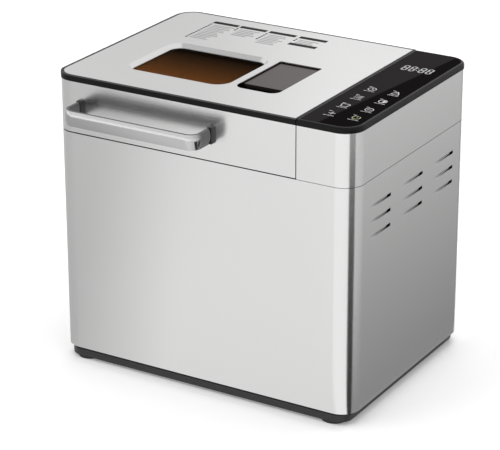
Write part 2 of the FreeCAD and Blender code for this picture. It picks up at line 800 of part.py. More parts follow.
def bearing_housing():
    top = CHASSIS_TOP + BEARING_H
    hub = rod(CHAMBER_CX, 0, CHASSIS_TOP, top + SHEET + BEARING_COLLAR_H, BEARING_HUB_R)
    foot = rod(CHAMBER_CX, 0, CHASSIS_TOP, CHASSIS_TOP + BEARING_FLANGE_T, BEARING_FLANGE_R)
    head = rod(CHAMBER_CX, 0, top - BEARING_FLANGE_T, top, BEARING_FLANGE_R)
    return join([hub, foot, head]).cut(rod(CHAMBER_CX, 0, 0, FAR, BUSH_R + SNUG))


def shaft_bushes():
    top = CHAMBER_FLOOR + BEARING_COLLAR_H
    low = tube(CHAMBER_CX, 0, CHASSIS_TOP, CHASSIS_TOP + BUSH_L, BUSH_R, SHAFT_R + RUN)
    return [low, tube(CHAMBER_CX, 0, top - BUSH_L, top, BUSH_R, SHAFT_R + RUN)]


def chassis_plate():
    x0 = CHAMBER_CX - CHASSIS_LEFT
    x1 = MOTOR_X + CHASSIS_RIGHT
    plate = slab(x0, x1, -CHASSIS_HALF_D, CHASSIS_HALF_D, CHASSIS_Z, CHASSIS_TOP, POST_INSET)
    posts = [rod(x, y, BASE_TOP, CHASSIS_Z, POST_R) for x, y in post_places()]
    cuts = [
        rod(CHAMBER_CX, 0, 0, FAR, SHAFT_R + 1),
        rod(MOTOR_X, 0, 0, FAR, SHAFT_R + 1),
    ]
    for x, y in post_places():
        cuts.append(rod(x, y, 0, BASE_TOP + SCREW_BITE + 1, SCREW_R + SNUG))
    for x, y in motor_bolt_places():
        cuts.append(rod(x, y, 0, FAR, MOTOR_BOLT_R + PLAY))
    return join([plate] + posts).cut(cuts)


def flanged_pulley(x, r, hub_r):
    inner = max(r - PULLEY_RIM_T, SHAFT_R)
    wheel = tube(x, 0, PULLEY_Z0, PULLEY_Z1, r, inner)
    low = tube(x, 0, PULLEY_Z0, PULLEY_Z0 + PULLEY_FLANGE_T, r + PULLEY_FLANGE, inner)
    high = tube(x, 0, PULLEY_Z1 - PULLEY_FLANGE_T, PULLEY_Z1, r + PULLEY_FLANGE, inner)
    pieces = [wheel, low, high, rod(x, 0, PULLEY_Z0, PULLEY_Z1, hub_r)]
    if inner > hub_r:
        middle = (PULLEY_Z0 + PULLEY_Z1) / 2
        web = rod(x, 0, middle - PULLEY_WEB_T / 2, middle + PULLEY_WEB_T / 2, r - 1)
        reach = (hub_r + inner) / 2
        for i in range(PULLEY_HOLES):
            a = 2 * math.pi * i / PULLEY_HOLES
            web = web.cut(rod(x + reach * math.cos(a), reach * math.sin(a), 0, FAR, PULLEY_HOLE_R))
        pieces.append(web)
    return join(pieces).cut(rod(x, 0, 0, FAR, SHAFT_R + SNUG))


def large_pulley():
    return flanged_pulley(CHAMBER_CX, PULLEY_R, PULLEY_HUB_R)


def motor_pulley():
    return flanged_pulley(MOTOR_X, MOTOR_PULLEY_R, MOTOR_PULLEY_R)


def drive_shaft():
    return rod(CHAMBER_CX, 0, PULLEY_Z0 - 2, DOG_TOP, SHAFT_R)


def drive_dog():
    pieces = [rod(CHAMBER_CX, 0, DOG_Z, DOG_TOP, DOG_PRONG_R1)]
    for angle in (0, 180):
        pieces.append(sector(CHAMBER_CX, 0, DOG_PRONG_R0, DOG_PRONG_R1, angle, DOG_PRONG_ANGLE,
                             DOG_Z + 1, DOG_TOP + DOG_PRONG_H))
    return join(pieces).cut(rod(CHAMBER_CX, 0, 0, FAR, SHAFT_R + SNUG))


def wing_coupler():
    pieces = [rod(CHAMBER_CX, 0, WING_Z0, WING_Z1, WING_HUB_R)]
    for angle in (90, 270):
        pieces.append(sector(CHAMBER_CX, 0, WING_HUB_R - 1, WING_R, angle, WING_ANGLE, WING_Z0, WING_Z1))
    return join(pieces).cut(rod(CHAMBER_CX, 0, 0, FAR, SHAFT_R + SNUG))


def belt_face(grow):
    r1 = PULLEY_R + GAP + grow
    r2 = MOTOR_PULLEY_R + GAP + grow
    reach = MOTOR_X - CHAMBER_CX
    a = math.acos((PULLEY_R - MOTOR_PULLEY_R) / reach)

    def on(x, r, angle):
        return V(x + r * math.cos(angle), r * math.sin(angle), BELT_Z0)

    big_far = V(CHAMBER_CX - r1, 0, BELT_Z0)
    small_far = V(MOTOR_X + r2, 0, BELT_Z0)
    edges = [
        Part.Arc(on(CHAMBER_CX, r1, a), big_far, on(CHAMBER_CX, r1, -a)),
        Part.LineSegment(on(CHAMBER_CX, r1, -a), on(MOTOR_X, r2, -a)),
        Part.Arc(on(MOTOR_X, r2, -a), small_far, on(MOTOR_X, r2, a)),
        Part.LineSegment(on(MOTOR_X, r2, a), on(CHAMBER_CX, r1, a)),
    ]
    return Part.Face(Part.Wire([edge.toShape() for edge in edges]))


def drive_belt():
    up = V(0, 0, BELT_W)
    return belt_face(BELT_T).extrude(up).cut(belt_face(0).extrude(up))


# Motor

def motor_block(z0, z1):
    return centred_slab(MOTOR_X, 0, MOTOR_W, MOTOR_W, z0, z1, MOTOR_CORNER_R)


def motor_bolt_holes():
    return [rod(x, y, 0, FAR, MOTOR_BOLT_R + PLAY) for x, y in motor_bolt_places()]


def motor_stator():
    stack = motor_block(STACK_Z, STACK_Z + STACK_H)
    return stack.cut([rod(MOTOR_X, 0, 0, FAR, ROTOR_R + ROTOR_GAP)] + motor_bolt_holes())


def motor_end_bells():
    low = motor_block(CHASSIS_TOP, STACK_Z)
    low_room = rod(MOTOR_X, 0, CHASSIS_TOP + BELL_T, STACK_Z, BELL_CAVITY_R)
    high = motor_block(STACK_Z + STACK_H, MOTOR_TOP)
    high_room = rod(MOTOR_X, 0, STACK_Z + STACK_H, MOTOR_TOP - BELL_T, BELL_CAVITY_R)
    holes = [rod(MOTOR_X, 0, 0, FAR, SHAFT_R + RUN)] + motor_bolt_holes()
    return [low.cut([low_room] + holes), high.cut([high_room] + holes)]


def motor_bolts():
    bolts = []
    for x, y in motor_bolt_places():
        shank = rod(x, y, CHASSIS_Z, MOTOR_TOP, MOTOR_BOLT_R)
        head = rod(x, y, MOTOR_TOP, MOTOR_TOP + MOTOR_BOLT_HEAD_H, MOTOR_BOLT_HEAD_R)
        nut = rod(x, y, CHASSIS_Z - MOTOR_BOLT_HEAD_H, CHASSIS_Z, MOTOR_BOLT_HEAD_R)
        bolts.append(join([shank, head, nut]))
    return bolts


def motor_shaft():
    fan_top = MOTOR_TOP + MOTOR_BOLT_HEAD_H + 1 + FAN_H
    shaft = rod(MOTOR_X, 0, PULLEY_Z0 - 1, fan_top, SHAFT_R)
    core = rod(MOTOR_X, 0, STACK_Z + ROTOR_END, STACK_Z + STACK_H - ROTOR_END, ROTOR_R)
    return join([shaft, core])


def motor_fan():
    z0 = MOTOR_TOP + MOTOR_BOLT_HEAD_H + 1
    blade = box(FAN_HUB_R - 1, FAN_R, -FAN_BLADE_T / 2, FAN_BLADE_T / 2, z0, z0 + FAN_H)
    pieces = [rod(0, 0, z0, z0 + FAN_H, FAN_HUB_R)]
    for i in range(FAN_BLADES):
        turned = blade.copy()
        turned.rotate(V(0, 0, 0), V(0, 0, 1), 360 * i / FAN_BLADES)
        pieces.append(turned)
    fan = join(pieces).cut(rod(0, 0, 0, FAR, SHAFT_R + SNUG))
    fan.translate(V(MOTOR_X, 0, 0))
    return fan


# Bread pan

def pan_form(inset, z0, z1):
    wires = []
    for z in (z0, z1):
        grow = PAN_TAPER * ((z - PAN_Z) / PAN_H - 1) - inset
        w = PAN_W + 2 * grow
        d = PAN_D + 2 * grow
        r = PAN_CORNER_R - inset
        x = CHAMBER_CX
        wires.append(rounded_wire(x - w / 2, x + w / 2, -d / 2, d / 2, z, r))
    return Part.makeLoft(wires, True, True)


def ear_plates(z0, z1):
    plates = []
    for side in (-1, 1):
        a, b = sorted((CHAMBER_CX + side * PAN_W / 2, CHAMBER_CX + side * (EAR_X + PAN_TAB_L)))
        plates.append(box(a, b, -PAN_TAB_W / 2, PAN_TAB_W / 2, z0, z1))
    return plates


def rivet_places():
    x = EAR_X + EAR_T + (PAN_TAB_L - EAR_T) / 2
    return [(CHAMBER_CX + side * x, y) for side in (-1, 1) for y in (-EAR_W / 4, EAR_W / 4)]


def bread_pan():
    rim_w = PAN_W + 2 * PAN_RIM
    rim_d = PAN_D + 2 * PAN_RIM
    rim_z = PAN_TOP - PAN_RIM_T
    rim = centred_slab(CHAMBER_CX, 0, rim_w, rim_d, rim_z, PAN_TOP, PAN_CORNER_R + PAN_RIM)
    body = join([pan_form(0, PAN_Z, PAN_TOP), rim] + ear_plates(rim_z, PAN_TOP))
    hollow = pan_form(PAN_WALL, PAN_Z + PAN_WALL, PAN_TOP + 1)
    cuts = [hollow, rod(CHAMBER_CX, 0, 0, FAR, PAN_BUSH_R + SNUG)]
    for x, y in rivet_places():
        cuts.append(rod(x, y, 0, FAR, RIVET_R + SNUG))
    return body.cut(cuts)


def pan_base_ring():
    ring = tube(CHAMBER_CX, 0, PAN_RING_Z, PAN_Z, PAN_RING_R, PAN_RING_R - PAN_RING_WALL)
    z0 = PAN_RING_Z + PAN_TAB_LIFT
    reach = SEAT_R - SEAT_WALL - 2 * GAP
    tabs = []
    for i in range(LUGS):
        angle = (i + 0.5) * 360 / LUGS
        tabs.append(sector(CHAMBER_CX, 0, PAN_RING_R - 1, reach, angle, PAN_TAB_ANGLE, z0, z0 + PAN_TAB_H))
    return join([ring] + tabs)


def pan_bearing():
    barrel = rod(CHAMBER_CX, 0, BUSH_Z0, BUSH_Z1, PAN_BUSH_R)
    flange = rod(CHAMBER_CX, 0, PAN_Z - PAN_BUSH_FLANGE_T, PAN_Z, PAN_BUSH_FLANGE_R)
    return join([barrel, flange]).cut(rod(CHAMBER_CX, 0, 0, FAR, SHAFT_R + RUN))


def pan_shaft():
    top = PADDLE_Z + PADDLE_HUB_H - 2
    shaft = rod(CHAMBER_CX, 0, WING_Z0, top, SHAFT_R)
    flat = box(CHAMBER_CX + SHAFT_R - SHAFT_FLAT, FAR, -FAR, FAR, PADDLE_Z, FAR)
    return shaft.cut(flat)


def kneading_paddle():
    cx = CHAMBER_CX
    hub = rod(cx, 0, PADDLE_Z, PADDLE_Z + PADDLE_HUB_H, PADDLE_HUB_R)
    tip = cx + PADDLE_REACH
    y0 = -PADDLE_T / 2
    top = PADDLE_Z + PADDLE_H
    tip_top = PADDLE_Z + PADDLE_TIP_H
    crown = cx + PADDLE_REACH * PADDLE_CROWN
    belly = V(crown + PADDLE_REACH * PADDLE_SWEEP, y0, top - PADDLE_H * PADDLE_BELLY)
    edges = [
        Part.LineSegment(V(cx, y0, PADDLE_Z), V(tip, y0, PADDLE_Z)),
        Part.LineSegment(V(tip, y0, PADDLE_Z), V(tip, y0, tip_top)),
        Part.Arc(V(tip, y0, tip_top), belly, V(crown, y0, top)),
        Part.LineSegment(V(crown, y0, top), V(cx, y0, PADDLE_Z + PADDLE_HUB_H)),
        Part.LineSegment(V(cx, y0, PADDLE_Z + PADDLE_HUB_H), V(cx, y0, PADDLE_Z)),
    ]
    blade = Part.Face(Part.Wire([edge.toShape() for edge in edges])).extrude(V(0, PADDLE_T, 0))
    socket = rod(cx, 0, PADDLE_Z, PADDLE_Z + PADDLE_HUB_H - 2 + GAP, SHAFT_R + SNUG)
    socket = socket.cut(box(cx + SHAFT_R - SHAFT_FLAT + SNUG, FAR, -FAR, FAR, 0, FAR))
    return join([hub, blade]).cut(socket)


def pan_ears():
    ears = []
    for side in (-1, 1):
        inner = CHAMBER_CX + side * EAR_X
        outer = CHAMBER_CX + side * (EAR_X + EAR_T)
        end = CHAMBER_CX + side * (EAR_X + PAN_TAB_L)
        a, b = sorted((inner, outer))
        c, d = sorted((inner, end))
        upright = box(a, b, -EAR_W / 2, EAR_W / 2, PAN_TOP, BAIL_Z + 2 * BAIL_R)
        foot = box(c, d, -EAR_W / 2, EAR_W / 2, PAN_TOP, PAN_TOP + EAR_T)
        groove_a, groove_b = sorted((outer, end))
        groove = rod_x(groove_a, groove_b, 0, BAIL_Z, BAIL_R + GAP)
        ear = join([upright, foot]).cut([rod_x(a - 1, b + 1, 0, BAIL_Z, BAIL_R + RUN), groove])
        rivets = []
        for x, y in rivet_places():
            if (x - CHAMBER_CX) * side > 0:
                low = PAN_TOP - PAN_RIM_T
                rivets.append(rod(x, y, low, PAN_TOP + EAR_T, RIVET_R))
                rivets.append(rod(x, y, low - RIVET_HEAD_H, low, RIVET_HEAD_R))
                rivets.append(rod(x, y, PAN_TOP + EAR_T, PAN_TOP + EAR_T + RIVET_HEAD_H, RIVET_HEAD_R))
        ears.append(join([ear] + rivets))
    return ears


def pan_bail():
    z = BAIL_Z
    x0 = CHAMBER_CX - BAIL_X
    x1 = CHAMBER_CX + BAIL_X
    y1 = BAIL_ARM
    r = BAIL_BEND_R
    k = r * (1 - math.sqrt(0.5))
    path = Part.Wire([
        Part.LineSegment(V(x0, 0, z), V(x0, y1 - r, z)).toShape(),
        Part.Arc(V(x0, y1 - r, z), V(x0 + k, y1 - k, z), V(x0 + r, y1, z)).toShape(),
        Part.LineSegment(V(x0 + r, y1, z), V(x1 - r, y1, z)).toShape(),
        Part.Arc(V(x1 - r, y1, z), V(x1 - k, y1 - k, z), V(x1, y1 - r, z)).toShape(),
        Part.LineSegment(V(x1, y1 - r, z), V(x1, 0, z)).toShape(),
    ])
    ring = Part.Wire([Part.makeCircle(BAIL_R, V(x0, 0, z), V(0, 1, 0))])
    wire = path.makePipeShell([ring], True, False)
    stub = EAR_X + EAR_T + 2
    left = rod_x(CHAMBER_CX - stub, x0, 0, z, BAIL_R)
    right = rod_x(x1, CHAMBER_CX + stub, 0, z, BAIL_R)
    knuckles = [Part.makeSphere(BAIL_R, V(x, 0, z)) for x in (x0, x1)]
    return join([wire, left, right] + knuckles)


# Console

def console_shell():
    return console_side(band(RIM_PROUD, SHEET, CONSOLE_Z0, RIM_Z))


def console_body():
    inset = INSIDE
    solid = console_side(outline(inset, DECK_TOP, RIM_Z))
    hollow = console_side(outline(inset + CONSOLE_WALL, DECK_TOP, RIM_Z), CONSOLE_WALL)
    shelf = console_side(outline(inset + CONSOLE_WALL / 2, BOARD_Z - SHELF_T, BOARD_Z), CONSOLE_WALL / 2)
    room_inset = inset + CONSOLE_WALL + SHELF_W
    room = console_side(outline(room_inset, BOARD_Z - SHELF_T, BOARD_Z), CONSOLE_WALL + SHELF_W)
    return join([solid.cut(hollow), shelf.cut(room)])


def console_rim():
    rim = console_side(outline(0, RIM_Z, HEIGHT))
    edges = []
    for edge in rim.Edges:
        box_of = edge.BoundBox
        flat_top = box_of.ZMin > HEIGHT - TOUCH
        split = box_of.XMax < CONSOLE_X0 + TOUCH
        if flat_top and not split:
            edges.append(edge)
    rim = rim.makeFillet(RIM_ROUND, edges)
    seat = console_side(outline(TOUCH_INSET, TOUCH_Z, HEIGHT), SEAM_LINE)
    opening_inset = TOUCH_INSET + TOUCH_LEDGE
    opening = console_side(outline(opening_inset, RIM_Z, TOUCH_Z), opening_inset)
    return rim.cut([seat, opening])


def touch_glass():
    glass = outline(TOUCH_INSET + PLAY, TOUCH_Z, HEIGHT - TOUCH_DROP)
    return console_side(glass, SEAM_LINE + PLAY)


def touch_board():
    inset = INSIDE + CONSOLE_WALL + GAP
    return console_side(outline(inset, BOARD_Z, BOARD_Z + BOARD_T), CONSOLE_WALL + GAP)


def display_module():
    x0 = DISPLAY_X - DISPLAY_W / 2
    y0 = DISPLAY_Y - DISPLAY_D / 2
    return box(x0, x0 + DISPLAY_W, y0, y0 + DISPLAY_D, BOARD_Z + BOARD_T, TOUCH_Z)


def power_board():
    z1 = DECK_Z0 - POWER_DROP
    z0 = z1 - BOARD_T
    x0 = POWER_X - POWER_W / 2
    y0 = POWER_Y - POWER_D / 2
    board = box(x0, x0 + POWER_W, y0, y0 + POWER_D, z0, z1)

    def block(w, d, h, y):
        x = x0 + BLOCK_MARGIN
        return box(x, x + w, y0 + y, y0 + y + d, z0 - h, z0)

    transformer = block(TRANSFORMER_W, TRANSFORMER_D, TRANSFORMER_H, TRANSFORMER_Y)
    relay = block(RELAY_W, RELAY_D, RELAY_H, RELAY_Y)
    terminals = block(TERMINAL_W, TERMINAL_D, TERMINAL_H, TERMINAL_Y)
    ys = (y0 + CAPACITOR_Y, y0 + CAPACITOR_Y + CAPACITOR_PITCH)
    capacitors = [rod(x0 + CAPACITOR_X, y, z0 - CAPACITOR_H, z0, CAPACITOR_R) for y in ys]
    return join([board, transformer, relay, terminals] + capacitors)


# Lid

def lid_apron():
    apron = lid_side(band(RIM_PROUD, SHEET, LID_Z0, RIM_Z))
    return apron.cut(handle_screw_holes())


def handle_leg_xs():
    return (HANDLE_X0 + HANDLE_T / 2, HANDLE_X1 - HANDLE_T / 2)


def handle_screw_holes():
    y0 = FRONT - SPACER_L
    y1 = FRONT + INSIDE + FRAME_WALL + 1
    return [rod_y(x, y0, y1, HANDLE_Z, HANDLE_SCREW_R + PLAY) for x in handle_leg_xs()]


def lid_frame():
    wall = lid_side(outline(INSIDE, LINER_TOP, RIM_Z))
    wall = wall.cut(lid_side(outline(INSIDE + FRAME_WALL, LINER_TOP, RIM_Z), FRAME_WALL))
    rim = lid_side(outline(0, RIM_Z, HEIGHT - RIM_STEP))
    seat = lid_side(outline(PLATE_LINE, PLATE_Z, HEIGHT), SEAM_LINE)
    opening = lid_side(outline(RIM_WIDTH, RIM_Z, HEIGHT), RIM_WIDTH)
    return join([wall, rim.cut([seat, opening])]).cut(handle_screw_holes())


def window_rect(inset, z):
    return rounded_wire(
        WINDOW_X0 + inset, WINDOW_X1 - inset, WINDOW_Y0 + inset, WINDOW_Y1 - inset, z, WINDOW_R - inset
    )


def window_block(inset, z0, z1):
    return Part.Face(window_rect(inset, z0)).extrude(V(0, 0, z1 - z0))


def lid_top_plate():
    plate = lid_side(outline(PLATE_LINE + PLAY, PLATE_Z, HEIGHT), SEAM_LINE + PLAY)
    dispenser = dispenser_block(0, PLATE_Z, HEIGHT)
    rims = [window_rect(-PLATE_T, HEIGHT), window_rect(WINDOW_SLOPE - PLATE_T, LIP_Z)]
    cup = Part.makeLoft(rims, True, True)
    bowl = Part.makeLoft(
        [window_rect(0, HEIGHT), window_rect(WINDOW_SLOPE, HEIGHT - WINDOW_DEPTH)], True, True
    )
    sight = window_block(WINDOW_SLOPE + WINDOW_LIP, LIP_Z, HEIGHT)
    return join([plate, cup]).cut([bowl, sight, dispenser])


def window_glass():
    return window_block(WINDOW_SLOPE, GLASS_Z, LIP_Z)


def window_tunnel():
    outer = window_block(WINDOW_SLOPE, TUNNEL_Z, GLASS_Z)
    return outer.cut(window_block(WINDOW_SLOPE + TUNNEL_WALL, TUNNEL_Z, GLASS_Z))


def inner_glass():
    return window_block(WINDOW_SLOPE, INNER_GLASS_Z, TUNNEL_Z)


def flap_room():
    x1 = FLAP_AXIS_X + FLAP_BARREL_R + FLAP_ROOM
    ear = FLAP_EAR_T + FLAP_ROOM
    return box(FLAP_X0 - FLAP_ROOM, x1, FLAP_Y0 - ear, FLAP_Y1 + ear, LINER_Z, HOPPER_Z)


def dome(inset, z1):
    form = centred_slab(
        CHAMBER_CX, 0, DOME_W - 2 * inset, DOME_D - 2 * inset, LINER_Z, z1, DOME_R - inset
    )
    edges = [edge for edge in form.Edges if edge.BoundBox.ZMin > z1 - TOUCH]
    return form.makeFillet(DOME_FILLET - inset, edges)


def lid_liner():
    flange = lid_side(outline(INSIDE, LINER_Z, LINER_TOP), GAP)
    liner = join([flange, dome(0, CEILING_Z + LINER_T)])
    cuts = [dome(LINER_T, CEILING_Z), window_block(WINDOW_SLOPE + WINDOW_LIP, LINER_Z, FAR), flap_room()]
    return liner.cut(cuts)


def lid_seal():
    w = CHAMBER_W + 2 * SEAL_OUT
    d = CHAMBER_D + 2 * SEAL_OUT
    z0 = DECK_TOP + GAP
    outer = centred_slab(CHAMBER_CX, 0, w + 2 * SEAL_W, d + 2 * SEAL_W, z0, LINER_Z, CHAMBER_R + SEAL_W)
    return outer.cut(centred_slab(CHAMBER_CX, 0, w, d, z0, LINER_Z, CHAMBER_R))


# Lid handle

def handle_leg_end():
    return FRONT + RIM_PROUD - SPACER_L


def lid_handle():
    x0 = HANDLE_X0 + HANDLE_T
    x1 = HANDLE_X1 - HANDLE_T
    y0 = FRONT - HANDLE_REACH + HANDLE_T
    y1 = handle_leg_end()
    r = HANDLE_BEND_R
    k = r * (1 - math.sqrt(0.5))
    z = HANDLE_Z
    path = Part.Wire([
        Part.LineSegment(V(x0, y1, z), V(x0, y0 + r, z)).toShape(),
        Part.Arc(V(x0, y0 + r, z), V(x0 + k, y0 + k, z), V(x0 + r, y0, z)).toShape(),
        Part.LineSegment(V(x0 + r, y0, z), V(x1 - r, y0, z)).toShape(),
        Part.Arc(V(x1 - r, y0, z), V(x1 - k, y0 + k, z), V(x1, y0 + r, z)).toShape(),
        Part.LineSegment(V(x1, y0 + r, z), V(x1, y1, z)).toShape(),
    ])
    low = z - HANDLE_H / 2
    high = z + HANDLE_H / 2
    edge_x = x0 - HANDLE_EDGE
    profile = Part.Wire([
        Part.LineSegment(V(x0, y1, low), V(x0, y1, high)).toShape(),
        Part.LineSegment(V(x0, y1, high), V(edge_x, y1, high)).toShape(),
        Part.Arc(V(edge_x, y1, high), V(x0 - HANDLE_T, y1, z), V(edge_x, y1, low)).toShape(),
        Part.LineSegment(V(edge_x, y1, low), V(x0, y1, low)).toShape(),
    ])
    bar = path.makePipeShell([profile], True, False)
    bite = y1 - HANDLE_SCREW_BITE
    holes = [rod_y(x, bite - GAP, y1, z, HANDLE_SCREW_R + SNUG) for x in handle_leg_xs()]
    return bar.cut(holes)


def handle_spacers():
    y0 = handle_leg_end()
    spacers = []
    half = HANDLE_T / 2 + SPACER_LIP
    z0 = HANDLE_Z - HANDLE_H / 2 - SPACER_LIP
    z1 = HANDLE_Z + HANDLE_H / 2 + SPACER_LIP
    for x in handle_leg_xs():
        block = box(x - half, x + half, y0, FRONT + RIM_PROUD, z0, z1)
        spacers.append(block.cut(handle_screw_holes()))
    return spacers


def handle_screws():
    inner = FRONT + INSIDE + FRAME_WALL
    y0 = handle_leg_end() - HANDLE_SCREW_BITE
    screws = []
    for x in handle_leg_xs():
        head = rod_y(x, inner, inner + HANDLE_SCREW_HEAD_H, HANDLE_Z, HANDLE_SCREW_HEAD_R)
        screws.append(join([head, rod_y(x, y0, inner, HANDLE_Z, HANDLE_SCREW_R)]))
    return screws


# Lid hinges

def hinge_segments():
    half = HINGE_W / 2
    middle = HINGE_MID_W / 2
    return [(-half, -middle - HINGE_PLAY), (middle + HINGE_PLAY, half)], (-middle, middle)


def hinge_body_leaves():
    face = BACK - RIM_PROUD
    outer, _ = hinge_segments()
    leaves = []
    for x in HINGE_XS:
        top = SEAM_Z - KNUCKLE_R - HINGE_PLAY
        pieces = [box(x - HINGE_W / 2, x + HINGE_W / 2, face, face + LEAF_T, top - LEAF_H, top)]
        for a, b in outer:
            pieces.append(rod_x(x + a, x + b, HINGE_Y, SEAM_Z, KNUCKLE_R))
            pieces.append(box(x + a, x + b, face, HINGE_Y, SEAM_Z - KNUCKLE_R, SEAM_Z - LID_GAP))
            pieces.append(box(x + a, x + b, face, face + LEAF_T, top - 1, SEAM_Z - LID_GAP))
        leaves.append(join(pieces).cut(rod_x(x - HINGE_W, x + HINGE_W, HINGE_Y, SEAM_Z, PIN_R + SNUG)))
    return leaves


def hinge_lid_leaves():
    face = BACK - RIM_PROUD
    _, middle = hinge_segments()
    leaves = []
    for x in HINGE_XS:
        a = x + middle[0]
        b = x + middle[1]
        low = SEAM_Z + KNUCKLE_R + HINGE_PLAY
        pieces = [
            box(x - HINGE_W / 2, x + HINGE_W / 2, face, face + LEAF_T, low, low + LEAF_H),
            rod_x(a, b, HINGE_Y, SEAM_Z, KNUCKLE_R),
            box(a, b, face, HINGE_Y, SEAM_Z + LID_GAP, SEAM_Z + KNUCKLE_R),
            box(a, b, face, face + LEAF_T, SEAM_Z + LID_GAP, low + 1),
        ]
        leaves.append(join(pieces).cut(rod_x(x - HINGE_W, x + HINGE_W, HINGE_Y, SEAM_Z, PIN_R + RUN)))
    return leaves


def hinge_pins():
    half = HINGE_W / 2
    return [rod_x(x - half, x + half, HINGE_Y, SEAM_Z, PIN_R) for x in HINGE_XS]


# Dispenser

def dispenser_block(grow, z0, z1):
    x0 = DISP_X0 - grow
    x1 = DISP_X1 + grow
    front = slab(x0, x1, DISP_Y0 - grow, DISP_Y1 - DISP_BACK_R, z0, z1, DISP_R + grow)
    back = slab(x0, x1, COVER_FRONT_Y, DISP_Y1 + grow, z0, z1, DISP_BACK_R + grow)
    return join([front, back])


def dispenser_hopper():
    collar = dispenser_block(COLLAR_WALL, COLLAR_Z, COLLAR_TOP)
    w = HOPPER_WALL
    tub = box(HOPPER_X0 - w, HOPPER_X1 + w, HOPPER_Y0 - w, HOPPER_Y1 + w, HOPPER_Z, COLLAR_TOP)
    ears = []
    barrel = FLAP_BARREL_R + 1
    for y0 in (FLAP_Y0, FLAP_Y1 - FLAP_EAR_T):
        y1 = y0 + FLAP_EAR_T
        ears.append(rod_y(FLAP_AXIS_X, y0, y1, FLAP_AXIS_Z, barrel))
        ears.append(box(HOPPER_X1, FLAP_AXIS_X + barrel, y0, y1, FLAP_AXIS_Z, HOPPER_Z + 2 * barrel))
    body = join([collar, tub] + ears)
    pocket_z = COVER_Z - GAP
    finger_z = COLLAR_TOP - FINGER_DEPTH
    finger_y1 = COVER_FRONT_Y - HOPPER_BAR
    cuts = [
        dispenser_block(0, pocket_z, FAR),
        slab(DISP_X0 + 1, DISP_X1 - 1, DISP_Y0 + 1, finger_y1, finger_z, FAR, HOPPER_LEDGE),
        box(HOPPER_X0, HOPPER_X1, HOPPER_Y0, HOPPER_Y1, FLAP_Z, FAR),
        box(DISP_X0, DISP_X1, HOPPER_Y1 - w, DISP_Y1, pocket_z - COVER_TRENCH, pocket_z),
        rod_x(DISP_X0 - COVER_PIN_L - GAP, DISP_X1 + COVER_PIN_L + GAP, COVER_HINGE_Y, COVER_HINGE_Z,
              COVER_PIN_R + RUN),
        rod_y(FLAP_AXIS_X, -FAR, FAR, FLAP_AXIS_Z, FLAP_PIN_R + RUN),
        box(HOPPER_X0 - w - 1, FLAP_AXIS_X + barrel + 1, FLAP_Y0 + FLAP_EAR_T, FLAP_Y1 - FLAP_EAR_T,
            0, HOPPER_Z),
    ]
    return body.cut(cuts)


def dispenser_cover():
    tail = COVER_HINGE_Y + COVER_TAIL
    x0 = DISP_X0 + COVER_PLAY
    x1 = DISP_X1 - COVER_PLAY
    plate = slab(x0, x1, COVER_FRONT_Y, tail, COVER_Z, COVER_TOP, COVER_CORNER_R)
    pin = rod_x(DISP_X0 - COVER_PIN_L, DISP_X1 + COVER_PIN_L, COVER_HINGE_Y, COVER_HINGE_Z, COVER_PIN_R)
    return join([plate, pin])


def dispenser_flap():
    y0 = FLAP_Y0 + FLAP_EAR_T + GAP
    y1 = FLAP_Y1 - FLAP_EAR_T - GAP
    plate = box(FLAP_X0 + MAGNET_W, FLAP_AXIS_X, y0, y1, FLAP_Z, FLAP_Z + FLAP_T)
    middle = (FLAP_Y0 + FLAP_Y1) / 2
    tab = box(FLAP_X0, FLAP_X0 + MAGNET_W + 1, middle - MAGNET_L / 2, middle + MAGNET_L / 2,
              FLAP_Z, FLAP_Z + FLAP_T)
    barrel = rod_y(FLAP_AXIS_X, y0, y1, FLAP_AXIS_Z, FLAP_T / 2 + FLAP_SWELL)
    pin = rod_y(FLAP_AXIS_X, FLAP_Y0, FLAP_Y1, FLAP_AXIS_Z, FLAP_PIN_R)
    notch = box(FLAP_AXIS_X - SPRING_R - 1, FLAP_AXIS_X + SPRING_R + 1, middle - SPRING_L / 2 - GAP,
                middle + SPRING_L / 2 + GAP, 0, FAR)
    return join([join([plate, tab, barrel]).cut(notch), pin])


def flap_spring():
    middle = (FLAP_Y0 + FLAP_Y1) / 2
    y0 = middle - SPRING_L / 2
    sleeve = rod_y(FLAP_AXIS_X, y0, y0 + SPRING_L, FLAP_AXIS_Z, SPRING_R)
    return sleeve.cut(rod_y(FLAP_AXIS_X, y0, y0 + SPRING_L, FLAP_AXIS_Z, FLAP_PIN_R + SNUG))


def dispenser_magnet():
    middle = (FLAP_Y0 + FLAP_Y1) / 2
    x1 = HOPPER_X0 - HOPPER_WALL
    y0 = middle - MAGNET_L / 2
    return box(x1 - MAGNET_W, x1, y0, y0 + MAGNET_L, HOPPER_Z, HOPPER_Z + MAGNET_H)


PARTS = [
    base_tray, foot_pads, base_screws, body_wrap, rear_panel, rear_panel_screws, cord_gland, top_deck,
    oven_chamber, heating_element, element_clips, temperature_probe, pan_seat, bearing_housing,
    shaft_bushes, chassis_plate, large_pulley, drive_shaft, drive_dog, wing_coupler, drive_belt,
    motor_stator, motor_end_bells, motor_bolts, motor_shaft, motor_pulley, motor_fan, bread_pan,
    pan_base_ring, pan_bearing, pan_shaft, kneading_paddle, pan_ears, pan_bail, console_shell,
    console_body, console_rim, touch_glass, touch_board, display_module, power_board, lid_apron,
    lid_frame, lid_top_plate, window_glass, window_tunnel, inner_glass, lid_liner, lid_seal,
    lid_handle, handle_spacers, handle_screws, hinge_body_leaves, hinge_lid_leaves, hinge_pins,
    dispenser_hopper, dispenser_cover, dispenser_flap, flap_spring, dispenser_magnet,
]


def main():
    os.makedirs("parts", exist_ok=True)
    for make in PARTS:
        made = make()
        shape = Part.makeCompound(made) if isinstance(made, list) else made
        shape.translate(FRAME_SHIFT)
        shape.exportStep("parts/" + make.__name__ + ".step")


main()
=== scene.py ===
"""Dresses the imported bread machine: materials, printed marks, display, light and camera."""

